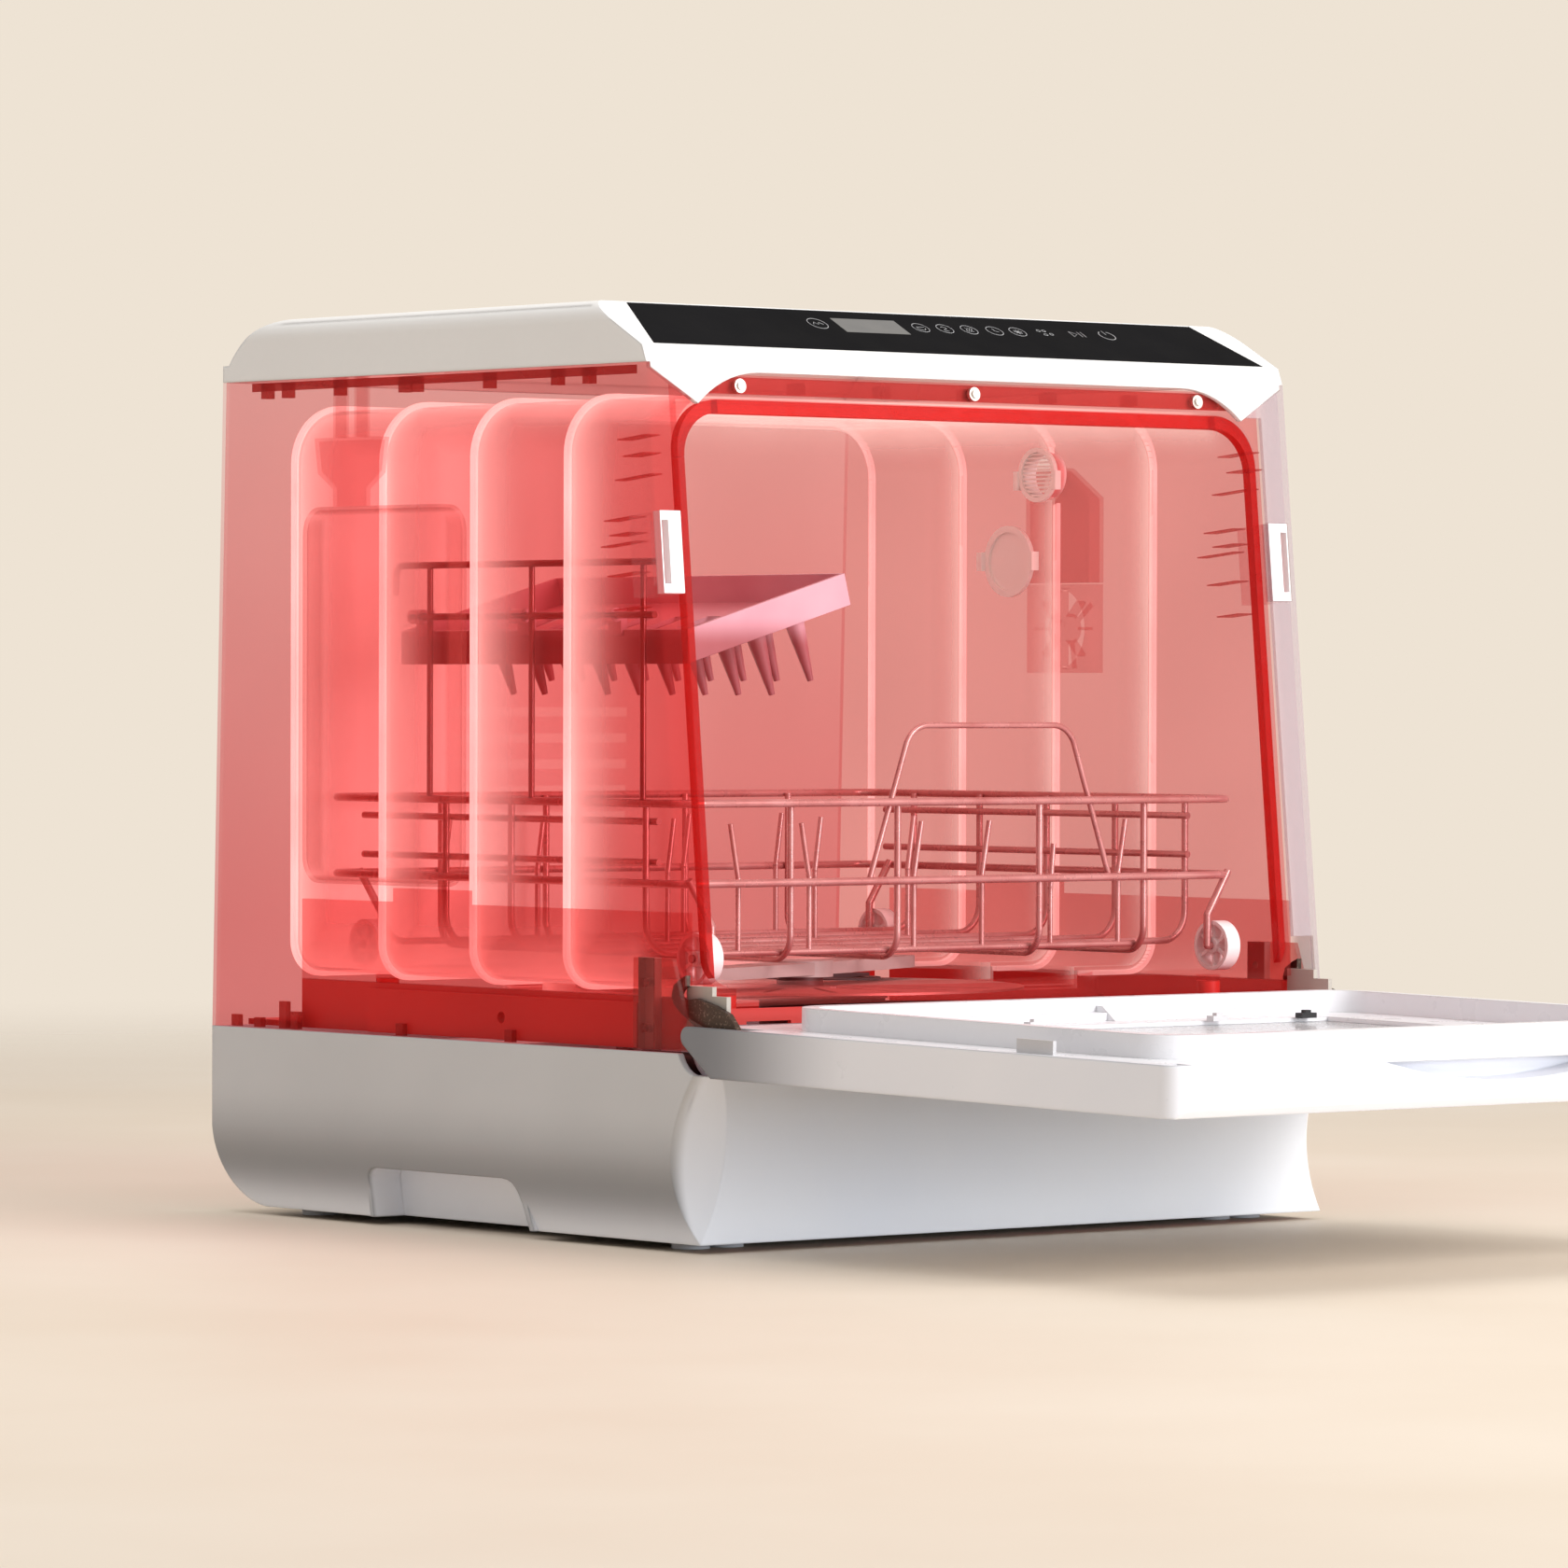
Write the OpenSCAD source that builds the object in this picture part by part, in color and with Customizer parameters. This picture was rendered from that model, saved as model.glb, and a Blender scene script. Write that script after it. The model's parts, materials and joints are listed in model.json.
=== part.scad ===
// Countertop dishwasher: casing on a base, rounded tub, drop-down door,
// wire basket on wheels, folding cup shelf.
// Millimetres. The floor is z = 0, +Z is up, the front is -Y and x = 0 is the middle of the casing.

/* [Casing] */
// width over the side panels
body_w = 420; // [400:5:450]
// height from the floor to the top of the cover
body_h = 460; // [440:5:490]
// depth of the casing where it stands on the base
body_d = 383; // [370:1:400]
// how far the front leans back up to the cover
front_lean = 32; // [20:1:40]
// how far the back leans forward up to the cover
back_lean = 8.8; // [4:0.2:12]
// thickness of the side panels
panel_t = 2.2; // [1.5:0.1:3]
// thickness of the back panel
back_t = 3; // [2:0.5:4]
// width of the front stile of each side panel
stile_w = 16.6; // [14:0.2:18]

/* [Base] */
// height of the seam between base and side panels
base_top = 96; // [90:1:104]
// height of the feet
foot_h = 4; // [3:0.5:8]
// diameter of a foot
foot_d = 18.7; // [14:0.1:24]
// wall of the base
base_wall = 3; // [2:0.5:4]
// how far the lip of the base stands in front of the casing
lip_out = 15; // [10:1:18]
// how far the bottom of the base stands in front of the casing
toe_out = 4; // [2:1:8]
// depth of the hollow in the front of the base
front_scoop = 3; // [1:0.5:5]
// how far the sides of the base tuck in at the bottom
side_tuck = 5.7; // [3:0.1:8]
// radius of the trough that takes the chin of the door
trough_r = 15.5; // [15:0.1:17]
// radius of the cut across each front corner
facet_r = 90; // [70:5:120]
// depth of the cut across each front corner
facet_depth = 15; // [8:1:20]
// length of a carrying recess
grip_l = 136; // [100:1:140]
// height of a carrying recess
grip_h = 25; // [18:1:30]
// depth of a carrying recess
grip_depth = 22; // [16:1:26]

/* [Cover] */
// height of the cover at its sides
cover_h = 31.5; // [28:0.5:36]
// wall of the cover
cover_t = 3; // [2:0.5:4]
// depth of the sloping front that carries the controls
slope_d = 43; // [36:1:48]
// drop of the sloping front
slope_h = 23; // [18:0.5:25]
// width of the control panel at its top edge
panel_top_w = 372; // [340:2:380]
// width of the control panel at its lower edge
panel_low_w = 402; // [380:2:406]
// thickness of the control panel
panel_plate_t = 2.4; // [2:0.1:3]
// width of the display window
display_w = 42; // [34:1:60]
// height of the display window
display_h = 16; // [12:1:20]
// distance between the tips of the two points beside the opening
fang_w = 358; // [350:2:370]

/* [Tub] */
// gap between the casing's outside and the tub's outside
tub_gap = 17; // [16:0.5:20]
// wall of the tub
tub_t = 2; // [1.5:0.5:3]
// height of the tub floor above the base
tub_rise = 31; // [28:1:36]
// inner radius of the tub's two upper edges
tub_r = 26; // [20:1:34]
// inner radius of the tub's two lower edges
tub_low_r = 14; // [8:1:15]
// distance from the back of the casing to the inside of the tub
tub_back = 42; // [38:1:50]
// distance between the raised bands round the tub
band_pitch = 76; // [70:1:80]
// width of a raised band
band_w = 3.2; // [2:0.2:5]
// height of a raised band
band_h = 2.5; // [1.5:0.1:3]
// radius of the round hollow in the tub floor
dish_r = 150; // [140:1:155]
// depth of the round hollow in the tub floor
dish_depth = 9; // [7:1:12]
// distance from the front plane to the tub's front edge
tub_set = 3.3; // [3:0.1:5]
// diameter of the vent in the right wall
vent_d = 29; // [24:1:34]
// diameter of the breather ring
breather_d = 38; // [32:1:44]

/* [Door] */
// thickness of the door's outer shell
door_t = 24; // [22:1:26]
// wall of the door's outer shell
door_wall = 2.5; // [2:0.1:3]
// distance from the front of the casing forward to the hinge
hinge_out = 8.5; // [8:0.1:9]
// height of the hinge above the base
hinge_up = 5; // [4:0.5:6]
// how far the open door hangs below level, in degrees
droop = 0.9; // [0:0.1:2]
// height of the raised rim inside the door
rim_h = 11; // [8:0.5:13]
// width of the raised rim inside the door
rim_w = 8; // [6:0.5:12]
// gap between raised rim and seal
seal_gap = 0.6; // [0.4:0.1:1]
// width of the grip in the door's free end
door_grip_w = 176; // [140:2:200]
// depth of the grip in the door's free end
door_grip_h = 12; // [8:0.5:13]
// radius of the hinge pin
pin_r = 3; // [2.5:0.1:3.5]
// running gap round a pin
run_gap = 0.05; // [0.02:0.01:0.09]
// length of a latch striker
striker_l = 25; // [18:1:30]

/* [Basket] */
// gap between the tub's inside and the middle of the basket's side wires
basket_gap = 9; // [8:0.5:12]
// length of the basket along the tub
basket_l = 292; // [270:2:300]
// wire of the basket's two hoops
rim_d = 4; // [3.5:0.1:4.5]
// wire of the basket's ribs
wire_d = 3.5; // [3:0.1:4]
// wire of the tines
tine_d = 2.8; // [2.4:0.1:3.2]
// height of the upper hoop above the tub floor
rim_z = 88; // [80:1:96]
// height of the middle hoop above the tub floor
mid_z = 49; // [44:1:56]
// radius of a basket wheel
wheel_r = 12.7; // [11:0.1:14]
// width of a basket wheel
wheel_w = 8.8; // [7:0.1:10]
// height of the tines above the basket's floor wires
tine_h = 63.5; // [50:0.5:70]
// height of the plate stop above the middle hoop
stop_h = 77; // [60:1:84]

/* [Cup shelf] */
// height of the shelf's top rail above the tub floor
rail_z = 206; // [190:1:212]
// drop from the top rail to the wire that carries the shelf
shelf_drop = 26; // [22:1:30]
// length of the shelf along the tub
shelf_l = 232; // [200:2:240]
// reach of the shelf from its hinge wire
shelf_w = 112; // [90:2:120]
// upward slope of the shelf in degrees
shelf_tilt = 16; // [10:1:20]
// height of the shelf's walls
shelf_wall_h = 16; // [12:1:20]
// length of a finger under the shelf
finger_l = 33; // [26:1:40]

/* [Hidden] */
half = body_w / 2;
cover_z = body_h - cover_h;
lean = atan(front_lean / (cover_z - base_top));
front_len = (cover_z - base_top) / cos(lean);
hinge_y = body_d + hinge_out;
hinge_z = base_top + hinge_up;
hinge_in = hinge_out * cos(lean) + hinge_up * sin(lean);
hinge_rise = hinge_up * cos(lean) - hinge_out * sin(lean);
door_l = front_len + 8.1 - hinge_rise;
edge_w = door_t / 3;
face_w = door_t - edge_w;
turn = 90 + lean + droop;
tub_half = half - tub_gap - tub_t;
tub_floor = base_top + tub_rise;
tub_ceil = cover_z - 16.5;
rim_half = tub_half - 5 - seal_gap;
seal_x = tub_half - 4.4;
port_out = 20;
rear_y = back_lean + port_out;
fore_y = hinge_y + door_l * cos(droop) + edge_w * sin(droop);
mid_y = (fore_y - rear_y) / 2;
lip_z = hinge_z - trough_r;
spray_y = 215;
basket_x = tub_half - basket_gap;
basket_front = tub_back + 12 + basket_l;
basket_rear = tub_back + 12;
weld = 0.15;
rib_in = (rim_d + wire_d) / 2 - weld;
rim_top = tub_floor + rim_z;
rim_mid = tub_floor + mid_z;
wheel_z = tub_floor + wheel_r + 0.1;
rib_z = tub_floor + 14.5;
runner_z = rib_z - wire_d;
wheel_x = 166.5 / 182 * basket_x;
wheel_front = basket_front - 1;
wheel_rear = basket_rear + 22;
rail_top = tub_floor + rail_z;
hook_z = rail_top - shelf_drop;
shelf_rear = basket_front - 3 - shelf_l;
latch_at = 242 / 334 * front_len;
well_x = 70;
well_y = 150;
well_r = 30;
tank_top = base_top - 8;
vent_y = 188;
vent_z = tub_ceil - 27;
vent_seat = 4;
breather_y = 160.5;
breather_z = tub_ceil - 72.5;
lid_x = half - 45;
lid_y = 95;
lid_r = 22;

function front_y(z) = -body_d + (z - base_top) * front_lean / (cover_z - base_top);
function back_y(z) = back_lean * (cover_z - z) / (cover_z - base_top);
function up(z) = (z - base_top) / cos(lean);

module at_body() {
    translate([0, mid_y, 0])
        children();
}

module on_front() {
    translate([0, mid_y - body_d, base_top])
        rotate([-lean, 0, 0])
            children();
}

module on_door() {
    translate([0, mid_y - hinge_y, hinge_z])
        rotate([droop, 0, 0])
            children();
}

module on_slope() {
    translate([0, mid_y - front_top_y(), body_h])
        rotate([atan(slope_h / slope_d), 0, 0])
            children();
}

function front_top_y() = body_d - front_lean - 3.5 - slope_d;

// A profile drawn in y and z, carried from x0 to x1.
module along_x(x0, x1) {
    translate([x0, 0, 0])
        rotate([90, 0, 90])
            linear_extrude(x1 - x0)
                children();
}

// A profile drawn in x and z, carried from y0 to y1.
module along_y(y0, y1) {
    translate([0, y1, 0])
        rotate([90, 0, 0])
            linear_extrude(y1 - y0)
                children();
}

module both_sides() {
    children();
    mirror([1, 0, 0])
        children();
}

module round_rect(x0, z0, x1, z1, r, low = 0) {
    k = low > 0 ? low : r;
    translate([x0 + k, z0])
        square([x1 - x0 - 2 * k, k + 1]);
    translate([x0 + r, z1 - r - 1])
        square([x1 - x0 - 2 * r, r + 1]);
    translate([x0, z0 + k])
        square([x1 - x0, z1 - z0 - r - k]);
    for (x = [x0 + k, x1 - k])
        translate([x, z0 + k])
            circle(k);
    for (x = [x0 + r, x1 - r])
        translate([x, z1 - r])
            circle(r);
}

module box(x0, x1, y0, y1, z0, z1) {
    translate([x0, y0, z0])
        cube([x1 - x0, y1 - y0, z1 - z0]);
}

module rod_x(x0, x1, y, z, d) {
    translate([x0, y, z])
        rotate([0, 90, 0])
            cylinder(h = x1 - x0, d = d);
}

module rod_y(y0, y1, x, z, d) {
    translate([x, y0, z])
        rotate([-90, 0, 0])
            cylinder(h = y1 - y0, d = d);
}

module rod_z(z0, z1, x, y, d) {
    translate([x, y, z0])
        cylinder(h = z1 - z0, d = d);
}

module rod(p, q, d) {
    v = q - p;
    translate(p)
        rotate([0, acos(v[2] / norm(v)), atan2(v[1], v[0])])
            cylinder(h = norm(v), d = d);
}

module bend(r, d, start, angle) {
    rotate_extrude(angle = angle, start = start)
        translate([r, 0])
            circle(d = d);
}

// A flat loop of wire with round corners, its middle line on the given rectangle.
module wire_loop(hx, y0, y1, z, r, d) {
    rod_x(-hx + r, hx - r, y0, z, d);
    rod_x(-hx + r, hx - r, y1, z, d);
    for (x = [-hx, hx])
        rod_y(y0 + r, y1 - r, x, z, d);
    translate([-hx + r, y0 + r, z])
        bend(r, d, 180, 90);
    translate([hx - r, y0 + r, z])
        bend(r, d, 270, 90);
    translate([hx - r, y1 - r, z])
        bend(r, d, 0, 90);
    translate([-hx + r, y1 - r, z])
        bend(r, d, 90, 90);
}

// A U of wire drawn in its own plane, open at the top.
module wire_u(u0, u1, z0, z1, r, d) {
    for (u = [u0, u1])
        translate([u, z0 + r, 0])
            rotate([-90, 0, 0])
                cylinder(h = z1 - z0 - r, d = d);
    translate([u0 + r, z0, 0])
        rotate([0, 90, 0])
            cylinder(h = u1 - u0 - 2 * r, d = d);
    translate([u0 + r, z0 + r, 0])
        bend(r, d, 180, 90);
    translate([u1 - r, z0 + r, 0])
        bend(r, d, 270, 90);
}

// Base

module base_side(inset) {
    y_rear = back_lean - inset;
    r = 44;
    low = foot_h;
    difference() {
        union() {
            polygon([[y_rear, base_top], [y_rear, low + r], [back_lean - r, low + r], [back_lean - r, low],
                [-body_d - toe_out + inset, low], [-body_d - lip_out + inset, lip_z - inset],
                [-hinge_y, lip_z - inset], [-hinge_y + trough_r + inset, base_top]]);
            intersection() {
                translate([back_lean - r + 0.15, low + r - 0.15])
                    circle(r - inset);
                translate([back_lean - r, low])
                    square([r - inset, r]);
            }
        }
        translate([-hinge_y, hinge_z])
            circle(trough_r + inset);
        base_scoop(inset);
    }
}

module base_scoop(inset) {
    rise = lip_z - foot_h;
    run = lip_out - toe_out;
    chord = norm([rise, run]);
    r = (chord * chord / 4 + front_scoop * front_scoop) / (2 * front_scoop);
    out = r - front_scoop;
    translate([-body_d - (toe_out + lip_out) / 2 - out * rise / chord,
        (lip_z + foot_h) / 2 - out * run / chord])
        circle(r + inset);
}

module base_across(inset) {
    h = 46;
    t = side_tuck + 0.1;
    r = (h * h + t * t) / (2 * t);
    intersection() {
        translate([-half + inset, foot_h])
            square([body_w - 2 * inset, base_top - foot_h + 1]);
        union() {
            translate([-half + inset, foot_h + 42])
                square([body_w - 2 * inset, base_top]);
            for (s = [-1, 1])
                translate([s * (half + 0.1 - r), foot_h + h])
                    circle(r - inset);
        }
    }
}

module corner_cut() {
    corner = [half, -body_d - toe_out - 5, foot_h + 36];
    out = (facet_r - facet_depth) / sqrt(2);
    translate(corner + [out, -out, 0])
        rotate([0, 0, 45])
            rod_x(-120, 120, 0, 0, 2 * facet_r);
}

// Points of a round corner c between a and b.
function round_corner(a, c, b) = [
    for (t = [0:0.25:1])
        (1 - t) * (1 - t) * a + 2 * t * (1 - t) * c + t * t * b
];

module grip_profile(grow) {
    y0 = -body_d + 123.5;
    y1 = y0 + grip_l;
    top = grip_h + foot_h + grow;
    a = [y0 - grow, -1];
    b = [y1 - 6 + grow, -1];
    c = [y0 + 14 - grow, top];
    d = [y1 + grow, top];
    polygon(concat([a], round_corner(c + (a - c) * 0.24, c, c + [9, 0]),
        round_corner(d - [9, 0], d, d + (b - d) * 0.24), [b]));
}

module base_shell() {
    color("#B9B5B0")
        at_body()
            difference() {
                union() {
                    difference() {
                        intersection() {
                            along_x(-half, half)
                                base_side(0);
                            along_y(-body_d - 40, back_lean + 1)
                                base_across(0);
                        }
                        intersection() {
                            along_x(-half, half)
                                difference() {
                                    base_side(base_wall);
                                    translate([-body_d - 40, 0])
                                        square([26, 200]);
                                }
                            along_y(-body_d - 40, back_lean + 1)
                                base_across(base_wall);
                        }
                    }
                    intersection() {
                        both_sides()
                            along_x(half - grip_depth - base_wall, half - base_wall + 0.2)
                                grip_profile(base_wall);
                        box(-half, half, -body_d, 0, foot_h, base_top);
                    }
                    both_sides()
                        intersection() {
                            rotate_about_corner()
                                rod_x(-120, 120, 0, 0, 2 * facet_r + 2 * base_wall);
                            along_x(0, half)
                                base_side(0);
                            along_y(-body_d - 40, back_lean + 1)
                                base_across(0);
                        }
                }
                both_sides() {
                    corner_cut();
                    along_x(half - grip_depth, half + 1)
                        grip_profile(0);
                    along_x(half - 11, half - 3.4)
                        polygon([[-hinge_y + 3, base_top + 1], [-hinge_y + 3.5, hinge_z - 19],
                            [-hinge_y + 16, base_top - 36], [-hinge_y + 43, base_top - 36],
                            [-hinge_y + 43, base_top + 1]]);
                }
                box(68 - 13.6, 68 + 13.6, back_lean - 5, back_lean + 1, 70 - 13.6, 70 + 13.6);
                rod_y(back_lean - 5, back_lean + 1, 120, 70, 20.4);
                box(-150.5 - 14, -150.5 + 14, back_lean - 5, back_lean + 1, 60, 81);
            }
}

module rotate_about_corner() {
    corner = [half, -body_d - toe_out - 5, foot_h + 36];
    out = (facet_r - facet_depth) / sqrt(2);
    translate(corner + [out, -out, 0])
        rotate([0, 0, 45])
            children();
}

module base_pan() {
    color("#8F8C8A")
        at_body()
            difference() {
                box(-half + 9.2, half - 9.2, -body_d + 16, -37, foot_h, foot_h + 2.5);
                both_sides()
                    along_x(half - grip_depth - base_wall - 0.2, half + 1)
                        grip_profile(base_wall + 0.2);
                for (x = [-120:40:120])
                    box(x - 3, x + 3, -body_d + 83, -body_d + 143, 0, 20);
            }
}

module feet() {
    color("#C9CED8")
        at_body()
            for (x = [-1, 1])
                for (y = [-body_d + 31, -48])
                    for (d = [0, 21])
                        rod_z(0, foot_h, x * (half - 28 - d), y, foot_d);
}

// Casing

module side_panel() {
    at_slot = up(base_top + 49);
    difference() {
        union() {
            translate([0, mid_y, 0])
                along_x(half - panel_t, half)
                    polygon([[front_y(base_top), base_top], [back_y(base_top) - back_t, base_top],
                        [back_y(cover_z) - back_t, cover_z], [front_y(cover_z), cover_z]]);
            on_front()
                along_y(0, panel_t)
                    difference() {
                        polygon([[half - stile_w, 0.3], [half - panel_t + 0.1, 0.3],
                            [half - panel_t + 0.1, front_len - 2.8],
                            [fang_w / 2 + 3, up(cover_z - 17.5)], [half - stile_w, up(cover_z - 17.5)]]);
                        translate([half - 18, 0])
                            square([15, at_slot]);
                        translate([fang_w / 2, up(cover_z - 19.5) - 0.7])
                            rotate(35)
                                square([60, 30]);
                        translate([half - 16.4, latch_at - 20.3])
                            square([13.6, 40.6]);
                    }
        }
        translate([0, mid_y - hinge_y, hinge_z])
            rod_x(half - 20, half + 1, 0, 0, 2 * trough_r);
    }
}

module left_side_panel() {
    color("#E28A8A")
        mirror([1, 0, 0])
            side_panel();
}

module right_side_panel() {
    color("#E28A8A")
        side_panel();
}

module back_panel() {
    color("#E59090")
        at_body()
            difference() {
                along_x(-half, half)
                    polygon([[back_y(base_top), base_top], [back_y(base_top) - back_t, base_top],
                        [back_y(cover_z) - back_t, cover_z], [back_y(cover_z), cover_z]]);
                for (z = [200:14:256])
                    box(-60, 60, -10, 20, z, z + 5);
            }
}

module cover_side(t) {
    r = 59.5;
    top = body_h - t;
    y_top = -front_top_y();
    polygon([[-52, cover_z - t], [-52, top], [y_top + t * 0.3, top],
        [y_top - slope_d + t, body_h - slope_h - t * 0.6],
        [-body_d + front_lean + t, cover_z - t]]);
    intersection() {
        translate([-52, body_h - r])
            circle(r - t);
        translate([-52, cover_z - t])
            square([49 - t, 60]);
    }
    translate([-52, cover_z - t])
        square([52 - t, 8.5]);
}

module top_cover() {
    in = half - panel_t - 0.2;
    color("#F1EFEE")
        difference() {
            union() {
                at_body()
                    difference() {
                        intersection() {
                            along_x(-half, half)
                                cover_side(0);
                            along_y(-body_d, 10)
                                round_rect(-half, cover_z - 30, half, body_h, 10);
                        }
                        along_x(-half + cover_t, half - cover_t)
                            cover_side(cover_t);
                        box(-half - 1, half + 1, -body_d, 1, cover_z - 31, cover_z);
                    }
                on_front()
                    along_y(0, cover_t)
                        difference() {
                            polygon([[-in, front_len - 2.4], [-fang_w / 2, up(cover_z - 19.5)],
                                [fang_w / 2, up(cover_z - 19.5)], [in, front_len - 2.4],
                                [in, front_len], [-in, front_len]]);
                            fang_opening();
                        }
                on_front()
                    box(-half + 6, half - 6, 0.8, cover_t, front_len - 2.4, front_len + 2);
            }
            on_slope()
                panel_shape(panel_plate_t + 0.05, 8, 0.3);
            on_slope()
                box(-90, 150, -36, -6, -6, 1);
            at_body()
                rod_z(cover_z, body_h + 1, -lid_x, -lid_y, 2 * (lid_r + 4.2));
        }
}

module fang_opening() {
    r = 58.4;
    flat = 139 / 179 * fang_w / 2;
    top = up(cover_z - 3.5);
    translate([-flat, 0])
        square([2 * flat, top]);
    translate([-flat - r, 0])
        square([2 * flat + 2 * r, top - r]);
    for (s = [-1, 1])
        translate([s * flat, top - r])
            circle(r);
}

module panel_shape(depth, over, grow) {
    l = norm([slope_d, slope_h]);
    translate([0, 0, -depth])
        linear_extrude(depth + over)
            polygon([[-panel_top_w / 2 - grow, -1.2 + grow], [panel_top_w / 2 + grow, -1.2 + grow],
                [panel_low_w / 2 + grow, -l + 2.2 - grow], [-panel_low_w / 2 - grow, -l + 2.2 - grow]]);
}

module control_panel() {
    color("#232325")
        on_slope()
            difference() {
                panel_shape(panel_plate_t, 0, 0);
                translate([-display_w / 2 - 42, -17 - display_h / 2, -1])
                    cube([display_w, display_h, 2]);
            }
}

module display_window() {
    color("#8E8E90")
        on_slope()
            translate([-display_w / 2 - 41.9, -16.9 - display_h / 2, -1])
                cube([display_w - 0.2, display_h - 0.2, 0.9]);
}

module display_board() {
    color("#2F6B46")
        on_slope() {
            box(-84, 144, -34, -9, -7, -5.4);
            box(-60, -24, -25, -11, -5.4, -2.6);
            for (x = [-8:17.8:118])
                box(x - 3, x + 3, -20, -14, -5.4, -2.6);
        }
}

// Tub

module chassis_frame() {
    low = base_top + 1;
    out = half - 11;
    color("#7E1A1E") {
        at_body()
            difference() {
                union() {
                    both_sides() {
                        box(out - 3, out, -body_d + 13, -55, low, base_top + 67);
                        box(out - 3, out, -body_d + 188, -body_d + 250, low, base_top + 74);
                        box(out, out + 4, -body_d + 47, -body_d + 266, low, base_top + 23);
                        for (y = [-body_d + 33, -76])
                            rod_z(low, tub_floor - tub_t, out - 39, y, 12);
                    }
                    difference() {
                        union() {
                            box(-out, out, -body_d + 13, -8, low, low + 3);
                            box(-out + 14, out - 14, -body_d + 11, -body_d + 83, low, low + 3);
                        }
                        box(-out + 44, out - 44, -body_d + 53, -45, low - 1, low + 4);
                    }
                }
                both_sides()
                    rod_x(out - 5, out + 6, -body_d + 155, base_top + 12, 6);
            }
        on_front() {
            along_y(9.5, 12)
                difference() {
                    translate([-out + 14, 1.4])
                        square([2 * out - 28, 20]);
                    for (x = [-150:50:150])
                        translate([x - 14, 6])
                            square([28, 9]);
                }
        }
    }
}

module tub_ring(grow) {
    round_rect(-tub_half - grow, tub_floor - grow, tub_half + grow, tub_ceil + grow,
        tub_r + grow, tub_low_r + grow);
}

module tub() {
    color("#E8A0A0") {
        difference() {
            at_body()
                union() {
                    difference() {
                        along_y(-body_d, -tub_back + tub_t)
                            tub_ring(tub_t);
                        along_y(-body_d - 1, -tub_back)
                            tub_ring(0);
                        rod_z(tub_floor - 5, tub_floor + 1, 0, -spray_y, 2 * dish_r);
                    }
                    rod_x(tub_half - vent_seat, tub_half + 0.5, -vent_y, vent_z, vent_d);
                    difference() {
                        rod_z(tub_floor - dish_depth - tub_t, tub_floor - tub_t + 0.5, 0, -spray_y,
                            2 * dish_r + 2 * tub_t);
                        rod_z(tub_floor - dish_depth, tub_floor + 1, 0, -spray_y, 2 * dish_r);
                        rod_z(tub_floor - 30, tub_floor, 0, -spray_y, 30);
                        rod_z(tub_floor - 30, tub_floor, well_x, -well_y, 2 * well_r + 4);
                    }
                }
            at_body() {
                rod_x(tub_half - 8, tub_half + 5, -vent_y, vent_z, vent_d - 3);
                rod_x(tub_half - 5, tub_half + 5, -breather_y, breather_z, breather_d - 12);
            }
            on_front()
                box(-half, half, -60, tub_set, -60, body_h);
        }
        on_front()
            along_y(tub_set, tub_set + 2)
                difference() {
                    translate([-tub_half - tub_t, up(base_top + 22)])
                        square([2 * tub_half + 2 * tub_t, up(cover_z - 4.5) - up(base_top + 22)]);
                    round_rect(-tub_half, up(tub_floor), tub_half, up(tub_ceil), tub_r, tub_low_r);
                    both_sides_2d()
                        translate([tub_half - 4, 0])
                            square([10, up(tub_floor - 2)]);
                }
    }
}

module both_sides_2d() {
    children();
    mirror([1, 0])
        children();
}

module tub_bands() {
    color("#F6E3DC")
        at_body()
            difference() {
                for (i = [0:3])
                    translate([0, -i * band_pitch, 0])
                        along_y(-tub_back - band_w / 2 + 0.5, -tub_back + band_w / 2 + 0.5)
                            difference() {
                                tub_ring(tub_t + band_h);
                                tub_ring(tub_t);
                            }
                rod_z(tub_floor - 30, tub_floor, 0, -spray_y, 2 * dish_r + 6);
                rod_x(tub_half, tub_half + 6, -vent_y, vent_z, vent_d + 4);
            }
}

module door_seal() {
    color("#CC1515")
        on_front()
            along_y(4, 9)
                difference() {
                    round_rect(-tub_half + 0.2, up(tub_floor) + 1, tub_half - 0.2, up(tub_ceil) - 0.2,
                        tub_r - 0.2, tub_low_r);
                    round_rect(-seal_x, -30, seal_x, hinge_rise + rim_far() + seal_gap, 22);
                    translate([-half, 0])
                        square([2 * half, up(tub_floor + 4)]);
                    both_sides_2d() {
                        translate([seal_x - 5, up(tub_ceil) - tub_r - 2.6])
                            square([20, 0.1]);
                        translate([seal_x - 22.4, up(tub_ceil) - 15])
                            square([0.1, 20]);
                    }
                }
}

function rim_far() = door_l - 32;

module latch() {
    on_front()
        difference() {
            box(half - 15.9, half - 3.2, 0.2, 24, latch_at - 20, latch_at + 20);
            box(half - 8, half - 3.9, -1, 9, latch_at - striker_l / 2 - 3, latch_at + striker_l / 2 + 3);
        }
}

module latch_left() {
    color("#E9E6E4")
        mirror([1, 0, 0])
            latch();
}

module latch_right() {
    color("#E9E6E4")
        latch();
}

module front_screws() {
    color("#E0D6D2")
        on_front()
            for (x = [-151, 0, 151])
                translate([x, 0, up(cover_z - 10)]) {
                    rod_y(1.4, tub_set, 0, 0, 7);
                    rod_y(0.4, 1.4, 0, 0, 4.2);
                }
}

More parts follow.
